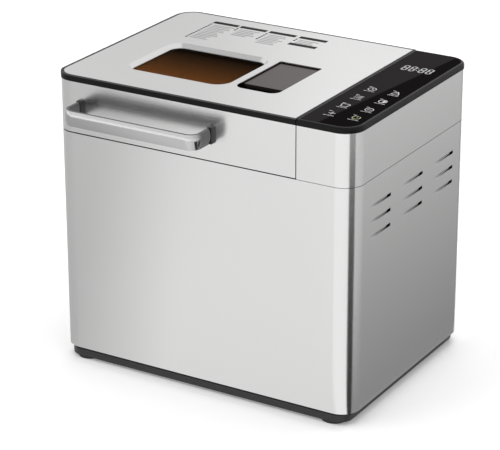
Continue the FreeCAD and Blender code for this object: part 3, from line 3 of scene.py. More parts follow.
import json
import math

import bmesh
import bpy
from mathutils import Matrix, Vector


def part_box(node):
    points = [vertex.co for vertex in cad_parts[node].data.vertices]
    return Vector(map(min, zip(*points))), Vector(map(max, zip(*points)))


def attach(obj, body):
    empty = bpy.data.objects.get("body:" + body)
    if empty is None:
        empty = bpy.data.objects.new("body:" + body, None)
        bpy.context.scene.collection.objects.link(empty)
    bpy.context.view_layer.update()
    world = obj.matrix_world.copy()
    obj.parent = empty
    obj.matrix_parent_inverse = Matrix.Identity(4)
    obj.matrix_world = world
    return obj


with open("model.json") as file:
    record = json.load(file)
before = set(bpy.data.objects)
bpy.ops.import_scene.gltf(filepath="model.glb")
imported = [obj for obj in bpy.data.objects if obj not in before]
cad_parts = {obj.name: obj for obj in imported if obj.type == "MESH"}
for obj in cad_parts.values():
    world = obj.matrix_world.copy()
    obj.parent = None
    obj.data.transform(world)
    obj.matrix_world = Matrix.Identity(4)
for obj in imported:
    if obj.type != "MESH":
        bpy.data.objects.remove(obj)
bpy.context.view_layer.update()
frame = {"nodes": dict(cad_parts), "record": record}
scene = bpy.context.scene
NODES = frame["nodes"]
MM = 0.001

# Camera of the photograph: degrees, metres, lens and sensor in mm, shift as a share of the width
CAMERA_AZIMUTH = 30.48
CAMERA_ELEVATION = 21.78
CAMERA_DISTANCE = 2.3603
CAMERA_TARGET = (0.001, 0.0113, 0.160)
CAMERA_LENS = 162.63
CAMERA_SENSOR = 36.0
CAMERA_SHIFT = (-0.0281, -0.0360)
CAMERA_REACH = 100.0

# Short calls for node trees


def feed(tree, socket, value):
    """Sets a socket to a number, or links another socket to it."""
    if isinstance(value, float):
        socket.default_value = value
    else:
        tree.links.new(value, socket)


def new_material(name, colour, rough, metallic=0.0, **sockets):
    """A material with one Principled shader; returns the material, its tree and the shader."""
    material = bpy.data.materials.new(name)
    material.use_nodes = True
    tree = material.node_tree
    shader = tree.nodes["Principled BSDF"]
    shader.inputs["Base Color"].default_value = (*colour, 1.0)
    shader.inputs["Roughness"].default_value = rough
    shader.inputs["Metallic"].default_value = metallic
    for key, value in sockets.items():
        shader.inputs[key.replace("_", " ")].default_value = value
    return material, tree, shader


def coords(tree, stretch=(1.0, 1.0, 1.0)):
    """Object coordinates in metres, scaled by stretch."""
    place = tree.nodes.new("ShaderNodeTexCoord")
    mapping = tree.nodes.new("ShaderNodeMapping")
    mapping.inputs["Scale"].default_value = stretch
    tree.links.new(place.outputs["Object"], mapping.inputs["Vector"])
    return mapping.outputs["Vector"]


def axes(tree, kind="Object"):
    """The x, y and z of the object's own coordinates, or of its normals."""
    place = tree.nodes.new("ShaderNodeTexCoord")
    split = tree.nodes.new("ShaderNodeSeparateXYZ")
    tree.links.new(place.outputs[kind], split.inputs["Vector"])
    return split.outputs["X"], split.outputs["Y"], split.outputs["Z"]


def maths(tree, operation, *values):
    """The result of one sum; each value is a number or a socket."""
    node = tree.nodes.new("ShaderNodeMath")
    node.operation = operation
    for socket, value in zip(node.inputs, values):
        feed(tree, socket, value)
    return node.outputs["Value"]


def noise(tree, vector, scale, detail=3.0):
    """Noise in 0 to 1 on the given coordinates."""
    node = tree.nodes.new("ShaderNodeTexNoise")
    node.inputs["Scale"].default_value = scale
    node.inputs["Detail"].default_value = detail
    tree.links.new(vector, node.inputs["Vector"])
    return node.outputs["Fac"]


def spread(tree, value, low, high, start=0.3, end=0.7):
    """Maps value from start..end to low..high."""
    node = tree.nodes.new("ShaderNodeMapRange")
    node.inputs["From Min"].default_value = start
    node.inputs["From Max"].default_value = end
    node.inputs["To Min"].default_value = low
    node.inputs["To Max"].default_value = high
    tree.links.new(value, node.inputs["Value"])
    return node.outputs["Result"]


def tint(tree, value, dark, light):
    """Colour from dark to light as value goes from 0 to 1."""
    node = tree.nodes.new("ShaderNodeMix")
    node.data_type = "RGBA"
    colours = [socket for socket in node.inputs if socket.type == "RGBA"]
    colours[0].default_value = (*dark, 1.0)
    colours[1].default_value = (*light, 1.0)
    tree.links.new(value, node.inputs["Factor"])
    return next(socket for socket in node.outputs if socket.type == "RGBA")


def bump(tree, shader, height, strength, distance):
    """Raises the shader's surface by height, at most by distance in metres."""
    node = tree.nodes.new("ShaderNodeBump")
    node.inputs["Strength"].default_value = strength
    node.inputs["Distance"].default_value = distance
    tree.links.new(height, node.inputs["Height"])
    tree.links.new(node.outputs["Normal"], shader.inputs["Normal"])


def shade(colour, gain):
    """A colour made lighter or darker."""
    return tuple(min(1.0, channel * gain) for channel in colour)


LEAST_ROUGH = 0.01


def vary_colour(tree, shader, colour, pattern, variation, paint=None):
    """Lets the colour follow a pattern, or takes it from paint, a function of the tree."""
    if paint:
        colours = paint(tree)
    else:
        level = spread(tree, pattern, 0.0, 1.0)
        colours = tint(tree, level, shade(colour, 1.0 - variation), shade(colour, 1.0 + variation))
    tree.links.new(colours, shader.inputs["Base Color"])


def vary_sheen(tree, shader, pattern, rough, fall, rise, *span):
    """Lets the roughness follow a pattern, from fall below rough to rise above it."""
    low = max(LEAST_ROUGH, rough - fall)
    tree.links.new(spread(tree, pattern, low, rough + rise, *span), shader.inputs["Roughness"])


# Brushed steel: streaks per metre along x, y and z, on the sides and on the lid
STEEL = (0.80, 0.798, 0.796)
TOP_STEEL = (0.70, 0.698, 0.696)
STEEL_ROUGH = 0.22
SIDE_GRAIN = (5.0, 5.0, 5200.0)
TOP_GRAIN = (5.0, 5200.0, 5.0)
STREAK_CONTRAST = 0.008
STREAK_BUMP = 0.01
STREAK_DEPTH = 0.03 * MM
CLOUD_SCALE = 9.0
CLOUD_SHARE = 0.25
STEEL_SHEEN = (0.03, 0.04)
STEEL_SHEEN_SPAN = (0.4, 0.85)
SIDE_ANISOTROPY = 0.5
QUARTER_TURN = 0.25


def brushed(name, colour, rough, grain, anisotropy=0.0, paint=None):
    """Brushed metal with fine streaks along its grain."""
    material, tree, shader = new_material(name, colour, rough, 1.0)
    if anisotropy:
        shader.inputs["Anisotropic"].default_value = anisotropy
        shader.inputs["Anisotropic Rotation"].default_value = QUARTER_TURN
        tangent = tree.nodes.new("ShaderNodeTangent")
        tangent.direction_type = "RADIAL"
        tangent.axis = "Z"
        tree.links.new(tangent.outputs["Tangent"], shader.inputs["Tangent"])
    streaks = noise(tree, coords(tree, grain), 1.0, detail=4.0)
    clouds = noise(tree, coords(tree), CLOUD_SCALE, detail=2.0)
    vary_colour(tree, shader, colour, streaks, STREAK_CONTRAST, paint)
    worn = maths(tree, "MULTIPLY_ADD", clouds, CLOUD_SHARE, streaks)
    vary_sheen(tree, shader, worn, rough, *STEEL_SHEEN, *STEEL_SHEEN_SPAN)
    bump(tree, shader, streaks, STREAK_BUMP, STREAK_DEPTH)
    return material


# Louvres: painted shade where they bend inwards; how far inside the right side the steel darkens, and the
# stretch along y that holds them
wrap_low, wrap_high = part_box("body_wrap")
LOUVRE_FALL = (wrap_high[0] - 0.7 * MM, wrap_high[0] - 0.1 * MM)
LOUVRE_MID_Y = (wrap_low[1] + wrap_high[1]) / 2
LOUVRE_SPAN_Y = 200 * MM
# Share of the colour that the louvres' painted shade keeps
LOUVRE_SHADE = 0.45


def louvred_steel(name, colour, rough, anisotropy):
    """Brushed steel with painted shade, darker where the louvres bend inwards from the right side."""

    def paint(tree):
        x, y, _ = axes(tree)
        flush = spread(tree, x, 0.0, 1.0, *LOUVRE_FALL)
        among = maths(tree, "COMPARE", y, LOUVRE_MID_Y, LOUVRE_SPAN_Y / 2)
        beyond = spread(tree, among, 1.0, 0.0, 0.0, 1.0)
        level = maths(tree, "MAXIMUM", flush, beyond)
        return tint(tree, level, shade(colour, LOUVRE_SHADE), colour)

    return brushed(name, colour, rough, SIDE_GRAIN, anisotropy, paint)


# Handle bar: painted shade on its back and inner faces; the stretch of the normal's y over which it darkens
# from front to back
BAR_FRONT = (0.58, 0.58, 0.58)
BAR_SHADED = (0.07, 0.07, 0.07)
BAR_TURN = (-0.9, 0.1)
BAR_STREAK_SCALE = 0.5
BAR_STREAKS = (0.96, 1.0)


def bar_steel(name, front, shaded, rough):
    """Satin steel with painted shade: its back and inner faces are darker than its front."""

    def paint(tree):
        _, y, _ = axes(tree, "Normal")
        # Painted shade: faces turned back towards the body take the dark tone
        facing = spread(tree, y, 1.0, 0.0, *BAR_TURN)
        streaks = noise(tree, coords(tree, SIDE_GRAIN), BAR_STREAK_SCALE)
        level = maths(tree, "MULTIPLY", facing, spread(tree, streaks, *BAR_STREAKS))
        return tint(tree, level, shaded, front)

    return brushed(name, front, rough, SIDE_GRAIN, paint=paint)


MOULD_DEPTH = 0.12 * MM
MOULD_CLOUDS = 22.0
MOULD_SHEEN = (0.05, 0.07)


def moulded(name, colour, rough, pitch=0.0006, relief=0.25, vary=0.15, **sockets):
    """Moulded plastic or rubber with a fine even texture of the given pitch in metres."""
    material, tree, shader = new_material(name, colour, rough, **sockets)
    grain = noise(tree, coords(tree), 1.0 / pitch, detail=2.0)
    clouds = noise(tree, coords(tree), MOULD_CLOUDS)
    vary_colour(tree, shader, colour, clouds, vary)
    vary_sheen(tree, shader, clouds, rough, *MOULD_SHEEN)
    bump(tree, shader, grain, relief, MOULD_DEPTH)
    return material


CAST_DEPTH = 0.1 * MM
CAST_MOTTLE = 0.12
CAST_SHEEN = (0.07, 0.10)


def cast(name, colour, rough, metallic=1.0, pitch=0.002, relief=0.3, vary=0.12):
    """Cast, plated or worn metal: soft mottling and a slight unevenness."""
    material, tree, shader = new_material(name, colour, rough, metallic)
    mottle = noise(tree, coords(tree), CAST_MOTTLE / pitch, detail=4.0)
    grain = noise(tree, coords(tree), 1.0 / pitch)
    vary_colour(tree, shader, colour, mottle, vary)
    vary_sheen(tree, shader, mottle, rough, *CAST_SHEEN)
    bump(tree, shader, grain, relief, CAST_DEPTH)
    return material


WIPE_STRETCH = (1.0, 3.0, 1.0)
WIPE_SCALE = 18.0
WIPE_VARIATION = 0.15


def glossy(name, colour, rough, smear=0.04, paint=None, **sockets):
    """A smooth gloss surface whose sheen varies a little, as wiped plastic and glass do."""
    material, tree, shader = new_material(name, colour, rough, **sockets)
    wipes = noise(tree, coords(tree, WIPE_STRETCH), WIPE_SCALE, detail=4.0)
    vary_sheen(tree, shader, wipes, rough, smear / 2, smear)
    vary_colour(tree, shader, colour, wipes, WIPE_VARIATION, paint)
    return material


# Window: painted shade, where along y the glass goes from clear at the front to dark at the back
GLASS_FADE = (-55 * MM, 25 * MM)
GLASS_SHADE = 0.05


def tinted_glass(name, colour, rough):
    """See-through glass with painted shade, darker towards the back, with a faint smear in its sheen."""

    def paint(tree):
        _, y, _ = axes(tree)
        glass_shading = spread(tree, y, 1.0, 0.0, *GLASS_FADE)
        return tint(tree, glass_shading, shade(colour, GLASS_SHADE), colour)

    return glossy(name, colour, rough, smear=0.02, paint=paint, Transmission_Weight=0.88, IOR=1.015)


# Touch glass: a painted reflection makes it paler left of a slanting line, at x = PANEL_LINE + PANEL_SLANT *
# y
PANEL_DARK = (0.0032, 0.0024, 0.0026)
PANEL_REFLECTED = (0.0195, 0.0175, 0.0182)
PANEL_SLANT = 0.111
PANEL_LINE = 143.7 * MM
PANEL_SOFT = 1.0 * MM


def touch_panel(name, dark, light, rough):
    """Black glass over a board, with a painted reflection that makes it paler on the left of a slanting
    line.
    """

    def paint(tree):
        x, y, _ = axes(tree)
        across = maths(tree, "MULTIPLY_ADD", y, -PANEL_SLANT, x)
        level = spread(tree, across, 1.0, 0.0, PANEL_LINE - PANEL_SOFT, PANEL_LINE + PANEL_SOFT)
        return tint(tree, level, dark, light)

    return glossy(name, dark, rough, paint=paint, Specular_IOR_Level=0.001)


SHEETS_PER_METRE = 320.0
SHEET_WAVER = 0.4
SHEET_SHADES = (0.6, 1.3)
SHEET_BUMP = 0.4
SHEET_DEPTH = 0.2 * MM


def laminated(name, colour):
    """Stacked steel sheets: fine lines across z."""
    material, tree, shader = new_material(name, colour, rough=0.5, metallic=0.8)
    wave = tree.nodes.new("ShaderNodeTexWave")
    wave.bands_direction = "Z"
    wave.inputs["Scale"].default_value = SHEETS_PER_METRE
    wave.inputs["Distortion"].default_value = SHEET_WAVER
    tree.links.new(coords(tree), wave.inputs["Vector"])
    dark, light = [shade(colour, gain) for gain in SHEET_SHADES]
    lines = tint(tree, wave.outputs["Fac"], dark, light)
    tree.links.new(lines, shader.inputs["Base Color"])
    bump(tree, shader, wave.outputs["Fac"], SHEET_BUMP, SHEET_DEPTH)
    return material


TRACKS_PER_METRE = 160.0
TRACK_EDGE = (0.02, 0.08)
TRACK_GAIN = 2.2
TRACK_BUMP = 0.2
TRACK_DEPTH = 0.1 * MM


def circuit_board(name, colour):
    """Green board with a paler pattern of tracks."""
    material, tree, shader = new_material(name, colour, rough=0.45)
    cells = tree.nodes.new("ShaderNodeTexVoronoi")
    cells.distance = "MANHATTAN"
    cells.feature = "DISTANCE_TO_EDGE"
    cells.inputs["Scale"].default_value = TRACKS_PER_METRE
    tree.links.new(coords(tree), cells.inputs["Vector"])
    level = spread(tree, cells.outputs["Distance"], 1.0, 0.0, *TRACK_EDGE)
    tracks = tint(tree, level, colour, shade(colour, TRACK_GAIN))
    tree.links.new(tracks, shader.inputs["Base Color"])
    bump(tree, shader, level, TRACK_BUMP, TRACK_DEPTH)
    return material


def ink(name, colour, glow=0.0):
    """Printed or lit marks, slightly uneven."""
    material = moulded(name, colour, 0.5, pitch=0.0009, relief=0.1, vary=0.12, Specular_IOR_Level=0.04)
    shader = material.node_tree.nodes["Principled BSDF"]
    shader.inputs["Emission Color"].default_value = (*colour, 1.0)
    shader.inputs["Emission Strength"].default_value = glow
    return material


# One material for each slot of the record, and a closer one for a few nodes
BY_SLOT = {
    "brushed_steel": brushed("steel_brushed", STEEL, STEEL_ROUGH, SIDE_GRAIN, SIDE_ANISOTROPY),
    "plated_steel": cast("steel_plated", (0.60, 0.60, 0.61), 0.33, pitch=0.004, relief=0.08, vary=0.08),
    "chrome": bar_steel("steel_satin", BAR_FRONT, BAR_SHADED, 0.14),
    "black_plastic": moulded("plastic_black", (0.022, 0.021, 0.022), 0.48),
    "black_gloss": glossy("plastic_gloss", (0.01, 0.01, 0.01), 0.22, smear=0.08, Specular_IOR_Level=0.08),
    "grey_plastic": moulded("plastic_grey", (0.075, 0.075, 0.08), 0.42),
    "smoked_panel": glossy("plastic_smoked", (0.034, 0.025, 0.023), 0.10, Specular_IOR_Level=0.15),
    "touch_glass": touch_panel("glass_touch", PANEL_DARK, PANEL_REFLECTED, 0.06),
    "tinted_glass": tinted_glass("glass_tinted", (0.55, 0.24, 0.07), 0.03),
    "rubber": moulded("rubber_black", (0.025, 0.025, 0.025), 0.75, pitch=0.0009, relief=0.4),
    "silicone": moulded("rubber_silicone", (0.40, 0.40, 0.40), 0.6, pitch=0.0012, relief=0.2),
    "chamber_steel": cast("steel_chamber", (0.56, 0.55, 0.54), 0.38, pitch=0.006, relief=0.15, vary=0.1),
    "element_steel": cast("steel_element", (0.2, 0.185, 0.18), 0.5, 0.9, pitch=0.0015, relief=0.4, vary=0.3),
    "cast_alloy": cast("alloy_cast", (0.52, 0.52, 0.53), 0.45, pitch=0.0015, relief=0.5),
    "bronze": cast("bronze_bush", (0.58, 0.42, 0.22), 0.35, pitch=0.0012, relief=0.3),
    "pan_coating": cast("coating_pan", (0.12, 0.09, 0.07), 0.42, 0.35, pitch=0.0008, relief=0.35, vary=0.2),
    "lamination": laminated("steel_laminated", (0.2, 0.21, 0.23)),
    "circuit_board": circuit_board("board_green", (0.03, 0.16, 0.07)),
    "display": moulded("display_frame", (0.45, 0.45, 0.43), 0.4),
    "magnet": cast("coil_painted", (0.10, 0.10, 0.11), 0.5, 0.3, pitch=0.0012, relief=0.4),
}
RIM = glossy("plastic_rim", (0.010, 0.0098, 0.0098), 0.30, smear=0.08, Specular_IOR_Level=0.12)
# Black plastic with painted shade: darker still and duller, for the shadow over the dispenser opening
SHADED_HOPPER = glossy("plastic_hopper_shaded", (0.004, 0.003, 0.003), 0.30, smear=0.08, Specular_IOR_Level=0.02)
BY_NODE = {
    "body_wrap": louvred_steel("steel_louvred", STEEL, STEEL_ROUGH, SIDE_ANISOTROPY),
    "lid_frame": RIM,
    "console_rim": RIM,
    "dispenser_hopper": SHADED_HOPPER,
    "lid_top_plate": brushed("steel_top", TOP_STEEL, STEEL_ROUGH, TOP_GRAIN),
}


def dress(node, material):
    """Puts one material on every slot of a CAD node."""
    piece = NODES[node]
    if not piece.material_slots:
        piece.data.materials.append(material)
    for place in piece.material_slots:
        place.material = material


for subpart in frame["record"]["subparts"]:
    slot_material = BY_SLOT[subpart["material_slot"]]
    dress(subpart["node"], BY_NODE.get(subpart["node"], slot_material))


# Flat marks: prisms a few hundredths of a millimetre thick, in one mesh per colour; sizes in mm
LID_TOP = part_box("lid_top_plate")[1][2] / MM
GLASS_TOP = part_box("touch_glass")[1][2] / MM
INK = 0.04


def prism(bm, points, level):
    """A thin closed prism on a level, over a flat outline."""
    bottom = [bm.verts.new((x * MM, y * MM, level * MM)) for x, y in points]
    top = [bm.verts.new((x * MM, y * MM, (level + INK) * MM)) for x, y in points]
    bm.faces.new(list(reversed(bottom)))
    bm.faces.new(top)
    count = len(points)
    for i in range(count):
        j = (i + 1) % count
        bm.faces.new((bottom[i], bottom[j], top[j], top[i]))


def bar(bm, x0, x1, y0, y1, level):
    """A rectangular mark."""
    prism(bm, [(x0, y0), (x1, y0), (x1, y1), (x0, y1)], level)


LEAST_MITRE = 0.4


def stroke(bm, points, width, level, closed=False):
    """A line of even width along points, with mitred joins."""
    count = len(points)
    left, right = [], []
    for i, (x, y) in enumerate(points):
        before = points[i - 1] if (closed or i > 0) else points[i]
        after = points[(i + 1) % count] if (closed or i < count - 1) else points[i]
        into = Vector((x - before[0], y - before[1]))
        out = Vector((after[0] - x, after[1] - y))
        into = into.normalized() if into.length else out.normalized()
        out = out.normalized() if out.length else into
        along = (into + out).normalized()
        reach = width / 2 / max(LEAST_MITRE, along.dot(out))
        left.append((x - along.y * reach, y + along.x * reach))
        right.append((x + along.y * reach, y - along.x * reach))
    runs = count if closed else count - 1
    for i in range(runs):
        j = (i + 1) % count
        prism(bm, [right[i], right[j], left[j], left[i]], level)


def arc(x, y, radius, start=0.0, end=360.0, steps=20):
    """Points along an arc; a full turn leaves out the repeated point."""
    full = abs(end - start) >= 360.0
    count = steps if full else steps + 1
    angles = [math.radians(start + (end - start) * i / steps) for i in range(count)]
    return [(x + radius * math.cos(a), y + radius * math.sin(a)) for a in angles]


def new_object(bm, name, material):
    """Puts the mesh into the scene as an object with one material."""
    mesh = bpy.data.meshes.new(name)
    bm.to_mesh(mesh)
    bm.free()
    mesh.materials.append(material)
    made = bpy.data.objects.new(name, mesh)
    scene.collection.objects.link(made)
    return made


def finish_piece(bm, name, material, body):
    """Makes the mesh an object that rides on a body."""
    piece = new_object(bm, name, material)
    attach(piece, body)


# Programme list on the lid: heading bars, dashed rules and pale rows, with no words
HEADING_Y = 110.5
HEADING_H = 7.0
HEADINGS = [(-122.0, -91.0), (-88.5, -56.0), (-52.5, -20.0), (-15.5, 17.5)]
LOWER_HEADING = (-15.0, 18.0)
LOWER_HEADING_Y = 86.0
RULE_TOP = 108.0
RULES = [(-121.0, 51.0), (-88.0, 95.0), (-52.0, 83.0), (-15.0, 96.0)]
RULE_W = 2.0
DASH = 3.4
DASH_GAP = 1.6
ROWS_TOP = 106.0
ROW_H = 2.0
ROW_PITCH = 4.8
ROW_BLOCKS = [
    (-117.0, (26, 23, 25, 21, 24, 19, 22, 25, 20, 17, 21)),
    (-84.0, (24, 20, 22, 25, 18)),
    (-48.0, (20, 23, 17, 24, 21, 19, 22)),
    (-11.0, (23, 19, 21)),
]

bm = bmesh.new()
for x0, x1 in HEADINGS:
    bar(bm, x0, x1, HEADING_Y, HEADING_Y + HEADING_H, LID_TOP)
bar(bm, *LOWER_HEADING, LOWER_HEADING_Y, LOWER_HEADING_Y + HEADING_H, LID_TOP)
for x, bottom in RULES:
    y = RULE_TOP
    while y - DASH >= bottom:
        bar(bm, x - RULE_W / 2, x + RULE_W / 2, y - DASH, y, LID_TOP)
        y -= DASH + DASH_GAP
finish_piece(bm, "lid_print_headings", ink("ink_dark", (0.014, 0.014, 0.014)), "lid")

bm = bmesh.new()
for x, lengths in ROW_BLOCKS:
    for row, length in enumerate(lengths):
        y = ROWS_TOP - row * ROW_PITCH
        bar(bm, x, x + length, y - ROW_H, y, LID_TOP)
finish_piece(bm, "lid_print_rows", ink("ink_pale", (0.28, 0.28, 0.28)), "lid")


# Clock digits: four seven-segment eights and a colon
DIGIT_H = 14.0
DIGIT_W = 6.2
DIGIT_Y = 72.5
DIGIT_XS = (125.0, 133.3, 144.0, 152.3)
SEGMENT_W = 1.5
SEGMENT_GAP = 0.25
COLON_X = 141.6
COLON_R = 0.8
COLON_SHARES = (0.3, 0.7)


def segment(bm, start, end):
    """One pointed segment of a digit."""
    a, b = Vector(start), Vector(end)
    along = (b - a).normalized()
    across = Vector((-along.y, along.x)) * SEGMENT_W / 2
    a, b = a + along * SEGMENT_GAP, b - along * SEGMENT_GAP
    tip = along * SEGMENT_W / 2
    outline = [a, a + tip - across, b - tip - across, b, b - tip + across, a + tip + across]
    prism(bm, [tuple(point) for point in outline], GLASS_TOP)


bm = bmesh.new()
for x in DIGIT_XS:
    left, right = x + SEGMENT_W / 2, x + DIGIT_W - SEGMENT_W / 2
    low, mid, high = DIGIT_Y, DIGIT_Y + DIGIT_H / 2, DIGIT_Y + DIGIT_H
    for y in (low, mid, high):
        segment(bm, (left, y), (right, y))
    for side in (left, right):
        segment(bm, (side, low), (side, mid))
        segment(bm, (side, mid), (side, high))
for share in COLON_SHARES:
    prism(bm, arc(COLON_X, DIGIT_Y + DIGIT_H * share, COLON_R, steps=12), GLASS_TOP)
finish_piece(bm, "display_digits", ink("ink_digits", (0.46, 0.46, 0.46), 0.06), "housing")


# Touch symbols: two columns of four, each with a short broken line under it
SYMBOL_XS = (130.5, 157.0)
SYMBOL_YS = (2.3, -25.7, -53.7, -80.2)
LINE = 0.9
RING_R = 4.2
ARM = 3.8
CAPTION_DROP = 6.6
CAPTION_RISE = 6.4
CAPTION = ((-6.0, -2.4), (-1.7, 1.2), (1.9, 5.8))


def line(bm, points, closed=False):
    """A stroke of a symbol on the touch glass."""
    stroke(bm, points, LINE, GLASS_TOP, closed)


def level_bar(bm, x, y, half):
    """A level stroke of a symbol, as long each way as half says."""
    bar(bm, x - half, x + half, y - LINE / 2, y + LINE / 2, GLASS_TOP)


def upright_bar(bm, x, y0, y1):
    """An upright stroke of a symbol."""
    bar(bm, x - LINE / 2, x + LINE / 2, y0, y1, GLASS_TOP)


def symbol_clock(bm, x, y):
    """A ring with two hands."""
    line(bm, arc(x, y, RING_R), True)
    line(bm, [(x, y + 2.8), (x, y), (x + 2.2, y - 0.9)])


def symbol_list(bm, x, y):
    """Three rows, each with a dot."""
    for row in (3.0, 0.0, -3.0):
        line(bm, [(x - 1.8, y + row), (x + 4.4, y + row)])
        prism(bm, arc(x - 3.8, y + row, 0.7, steps=10), GLASS_TOP)


def symbol_size(bm, x, y):
    """An upright outline with a rounded, wider crown."""
    crown = arc(x + 2.4, y + 1.6, 2.2, -60, 90, 8) + arc(x - 2.4, y + 1.6, 2.2, 90, 240, 8)
    line(bm, [(x + 3.4, y - 4.0)] + crown + [(x - 3.4, y - 4.0)], True)


def symbol_plus(bm, x, y):
    """A plus sign."""
    level_bar(bm, x, y, ARM)
    upright_bar(bm, x, y + LINE / 2, y + ARM)
    upright_bar(bm, x, y - ARM, y - LINE / 2)


def symbol_minus(bm, x, y):
    """A minus sign in a ring."""
    line(bm, arc(x, y, RING_R), True)
    level_bar(bm, x, y, 2.2)


def symbol_weight(bm, x, y):
    """A scale weight with its eye."""
    base = [(x - 4.2, y - 4.0), (x + 4.2, y - 4.0), (x + 2.6, y + 1.2), (x - 2.6, y + 1.2)]
    line(bm, base, True)
    line(bm, arc(x, y + 2.9, 1.4, steps=14), True)


def symbol_shade(bm, x, y):
    """A ring, half of it filled."""
    line(bm, arc(x, y, RING_R), True)
    prism(bm, arc(x, y, 3.2, -90, 90, 12), GLASS_TOP)


def symbol_start(bm, x, y):
    """An open ring with a stroke in its gap."""
    line(bm, arc(x, y, 4.0, 125, 415))
    upright_bar(bm, x, y + 1.0, y + 5.0)


SYMBOLS = [
    (symbol_clock, 0, 0),
    (symbol_list, 0, 1),
    (symbol_size, 0, 2),
    (symbol_plus, 0, 3),
    (symbol_weight, 1, 0),
    (symbol_shade, 1, 1),
    (symbol_minus, 1, 2),
]

bm = bmesh.new()
for draw, column, row in SYMBOLS:
    draw(bm, SYMBOL_XS[column], SYMBOL_YS[row])
for x in SYMBOL_XS:
    for y in SYMBOL_YS:
        for x0, x1 in CAPTION:
            bar(bm, x + x0, x + x1, y - CAPTION_DROP - LINE, y - CAPTION_DROP, GLASS_TOP)
        x0, x1 = CAPTION[0]
        bar(bm, x + x0, x + x1, y + CAPTION_RISE - LINE, y + CAPTION_RISE, GLASS_TOP)
finish_piece(bm, "touch_symbols", ink("ink_white", (0.55, 0.55, 0.55), 0.05), "housing")

bm = bmesh.new()
symbol_start(bm, SYMBOL_XS[1], SYMBOL_YS[3])
finish_piece(bm, "touch_start_symbol", ink("ink_warm", (0.42, 0.42, 0.25), 0.05), "housing")


# Studio: pale floor, lifted more the further off it lies, soft light and white surroundings
FLOOR_HALF = 14.0
FLOOR_COLOUR = (0.90, 0.90, 0.90)
FLOOR_ROUGH = 0.35
FLOOR_GLOSS = 0.25
FLOOR_LIFT = (0.24, 0.64)
FLOOR_LIFT_SPAN = (0.7, 2.5)
SURROUND_LIGHT = 0.42


def flat_mesh(points):
    """A mesh of one flat face."""
    bm = bmesh.new()
    bm.faces.new([bm.verts.new(point) for point in points])
    return bm


def level_corners(x0, x1, y0, y1, z):
    """Corners of a level rectangle."""
    return [(x0, y0, z), (x1, y0, z), (x1, y1, z), (x0, y1, z)]


def seen_rays(tree):
    """1 for camera, glossy and transmission rays, else 0."""
    path = tree.nodes.new("ShaderNodeLightPath")
    seen = path.outputs["Is Camera Ray"]
    for key in ("Is Glossy Ray", "Is Transmission Ray"):
        seen = maths(tree, "MAXIMUM", seen, path.outputs[key])
    return seen


def pale_floor():
    """A pale surface that looks a little lighter than the lamps alone make it."""
    material, tree, shader = new_material("floor_pale", FLOOR_COLOUR, FLOOR_ROUGH)
    shader.inputs["Specular IOR Level"].default_value = FLOOR_GLOSS
    glow = tree.nodes.new("ShaderNodeEmission")
    reach = tree.nodes.new("ShaderNodeVectorMath")
    reach.operation = "LENGTH"
    tree.links.new(coords(tree), reach.inputs[0])
    lift = spread(tree, reach.outputs["Value"], *FLOOR_LIFT, *FLOOR_LIFT_SPAN)
    feed(tree, glow.inputs["Strength"], maths(tree, "MULTIPLY", seen_rays(tree), lift))
    both = tree.nodes.new("ShaderNodeAddShader")
    tree.links.new(shader.outputs["BSDF"], both.inputs[0])
    tree.links.new(glow.outputs["Emission"], both.inputs[1])
    tree.links.new(both.outputs["Shader"], tree.nodes["Material Output"].inputs["Surface"])
    return material


def white_surroundings():
    """A world that looks white and lights the object at a plain level."""
    world = bpy.data.worlds.new("studio")
    world.use_nodes = True
    tree = world.node_tree
    sky = tree.nodes["Background"]
    sky.inputs["Color"].default_value = (1.0, 1.0, 1.0, 1.0)
    level = spread(tree, seen_rays(tree), SURROUND_LIGHT, 1.0, 0.0, 1.0)
    tree.links.new(level, sky.inputs["Strength"])
    return world


def area_light(name, place, aim, side, power):
    """A soft square lamp at place, turned towards aim."""
    data = bpy.data.lights.new(name, "AREA")
    data.shape = "SQUARE"
    data.size = side
    data.energy = power
    lamp = bpy.data.objects.new(name, data)
    lamp.location = place
    lamp.rotation_euler = (Vector(aim) - Vector(place)).to_track_quat("-Z", "Y").to_euler()
    lamp.visible_glossy = False
    scene.collection.objects.link(lamp)


floor_corners = level_corners(-FLOOR_HALF, FLOOR_HALF, -FLOOR_HALF, FLOOR_HALF, 0.0)
floor = new_object(flat_mesh(floor_corners), "floor", pale_floor())
scene.world = white_surroundings()
area_light("key", place=(-1.6, -1.5, 2.3), aim=(0.0, 0.0, 0.15), side=2.0, power=26.0)
area_light("top", place=(0.1, 0.5, 2.6), aim=(0.0, 0.0, 0.2), side=2.4, power=44.0)


# Grey cards that only reflections see, for the tones of the steel; points and heights in metres
CARD_Z = 0.002
CORNER_CARD_Z = 0.003
CARD_BACK_Y = 1.5
CARD_ABOVE_Z = 1.9
VIEW_SLANT = math.tan(math.radians(CAMERA_AZIMUTH))
FAR_LEFT = -2.0
FAR_RIGHT = 1.4
FAR_FRONT = -1.6
LEFT_X = -0.18
RIGHT_X = 0.178
FRONT_Y = -0.12
SIDE_Y = -0.11
LEFT_BACK = 2.0
RIGHT_BACK = 1.8
ABOVE_X = (-2.2, 0.4)
ABOVE_Y = (-2.2, 0.5)
BACK_X = (-2.4, 0.4)
BACK_Z = (0.5, 1.6)
FRONT_EDGE = (0.165, FRONT_Y)
FRONT_FAR = (-0.62, FAR_FRONT)
CORNER_EDGE = (0.169, -0.106)
CORNER_FAR = (1.032, -0.788)
CORNER_SIDE = (1.269, -0.139)


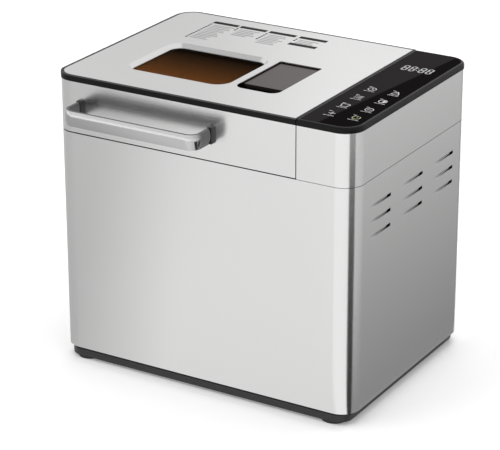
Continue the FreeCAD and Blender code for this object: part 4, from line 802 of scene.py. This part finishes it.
def card(name, corners, *tones):
    """A flat card; each tone is (axis, from, to, strength at from, strength at to), and they multiply.

    Axis U runs across the floor along the lines that the front's reflections follow.
    """
    material = bpy.data.materials.new(name)
    material.use_nodes = True
    tree = material.node_tree
    tree.nodes.remove(tree.nodes["Principled BSDF"])
    glow = tree.nodes.new("ShaderNodeEmission")
    x, y, z = axes(tree)
    values = {"X": x, "Y": y, "Z": z, "U": maths(tree, "MULTIPLY_ADD", y, -VIEW_SLANT, x)}
    strength = 1.0
    for axis, start, end, low, high in tones:
        level = spread(tree, values[axis], low, high, start, end)
        strength = maths(tree, "MULTIPLY", level, strength)
    feed(tree, glow.inputs["Strength"], strength)
    tree.links.new(glow.outputs["Emission"], tree.nodes["Material Output"].inputs["Surface"])
    flat = new_object(flat_mesh(corners), name, material)
    flat.visible_camera = False
    flat.visible_diffuse = False
    flat.visible_transmission = False
    flat.visible_shadow = False


def on_floor(*points, z=CARD_Z):
    """Corners of a card on the floor."""
    return [(x, y, z) for x, y in points]


def behind(x0, x1, z0, z1):
    """Corners of a card standing behind the machine."""
    return [(x, CARD_BACK_Y, z) for x, z in ((x0, z0), (x1, z0), (x1, z1), (x0, z1))]


card(
    "card_front",
    on_floor((FAR_LEFT, FAR_FRONT), FRONT_FAR, FRONT_EDGE, (FAR_LEFT, FRONT_Y)),
    ("U", -0.110, 0.022, 0.54, 0.88),
    ("Y", -0.30, FRONT_Y, 1.0, 0.95),
)
card("card_band", on_floor(FRONT_EDGE, FRONT_FAR, (FAR_RIGHT, FAR_FRONT), CORNER_FAR, CORNER_EDGE))
card(
    "card_right",
    level_corners(RIGHT_X, FAR_RIGHT, SIDE_Y, RIGHT_BACK, CARD_Z),
    ("X", 0.2, 0.6, 0.50, 1.08),
    ("Y", SIDE_Y, 0.12, 0.56, 0.55),
)
card(
    "card_left",
    level_corners(FAR_LEFT, LEFT_X, FRONT_Y, LEFT_BACK, CARD_Z),
    ("X", -1.0, LEFT_X, 0.6, 0.5),
)
card(
    "card_corner",
    on_floor(CORNER_EDGE, CORNER_FAR, CORNER_SIDE, z=CORNER_CARD_Z),
    ("X", 0.2, 0.8, 0.01, 0.04),
)
card(
    "card_above",
    level_corners(*ABOVE_X, *ABOVE_Y, CARD_ABOVE_Z),
    ("X", -2.0, 0.4, 0.5, 0.62),
    ("Y", -2.0, 0.5, 0.9, 1.0),
)
card(
    "card_back",
    behind(*BACK_X, *BACK_Z),
    ("X", -1.0, -0.72, 0.84, 1.16),
    ("Z", 0.80, 0.95, 0.88, 1.0),
)


def place_camera():
    """The camera at the photograph's viewing angle."""
    data = bpy.data.cameras.new("camera")
    data.lens = CAMERA_LENS
    data.sensor_width = CAMERA_SENSOR
    data.shift_x, data.shift_y = CAMERA_SHIFT
    data.clip_end = CAMERA_REACH
    eye = bpy.data.objects.new("camera", data)
    azimuth, elevation = math.radians(CAMERA_AZIMUTH), math.radians(CAMERA_ELEVATION)
    away = Vector((
        math.sin(azimuth) * math.cos(elevation),
        -math.cos(azimuth) * math.cos(elevation),
        math.sin(elevation),
    ))
    eye.location = Vector(CAMERA_TARGET) + away * CAMERA_DISTANCE
    eye.rotation_euler = (-away).to_track_quat("-Z", "Y").to_euler()
    scene.collection.objects.link(eye)
    return eye


scene.camera = place_camera()
scene.view_settings.view_transform = "Standard"
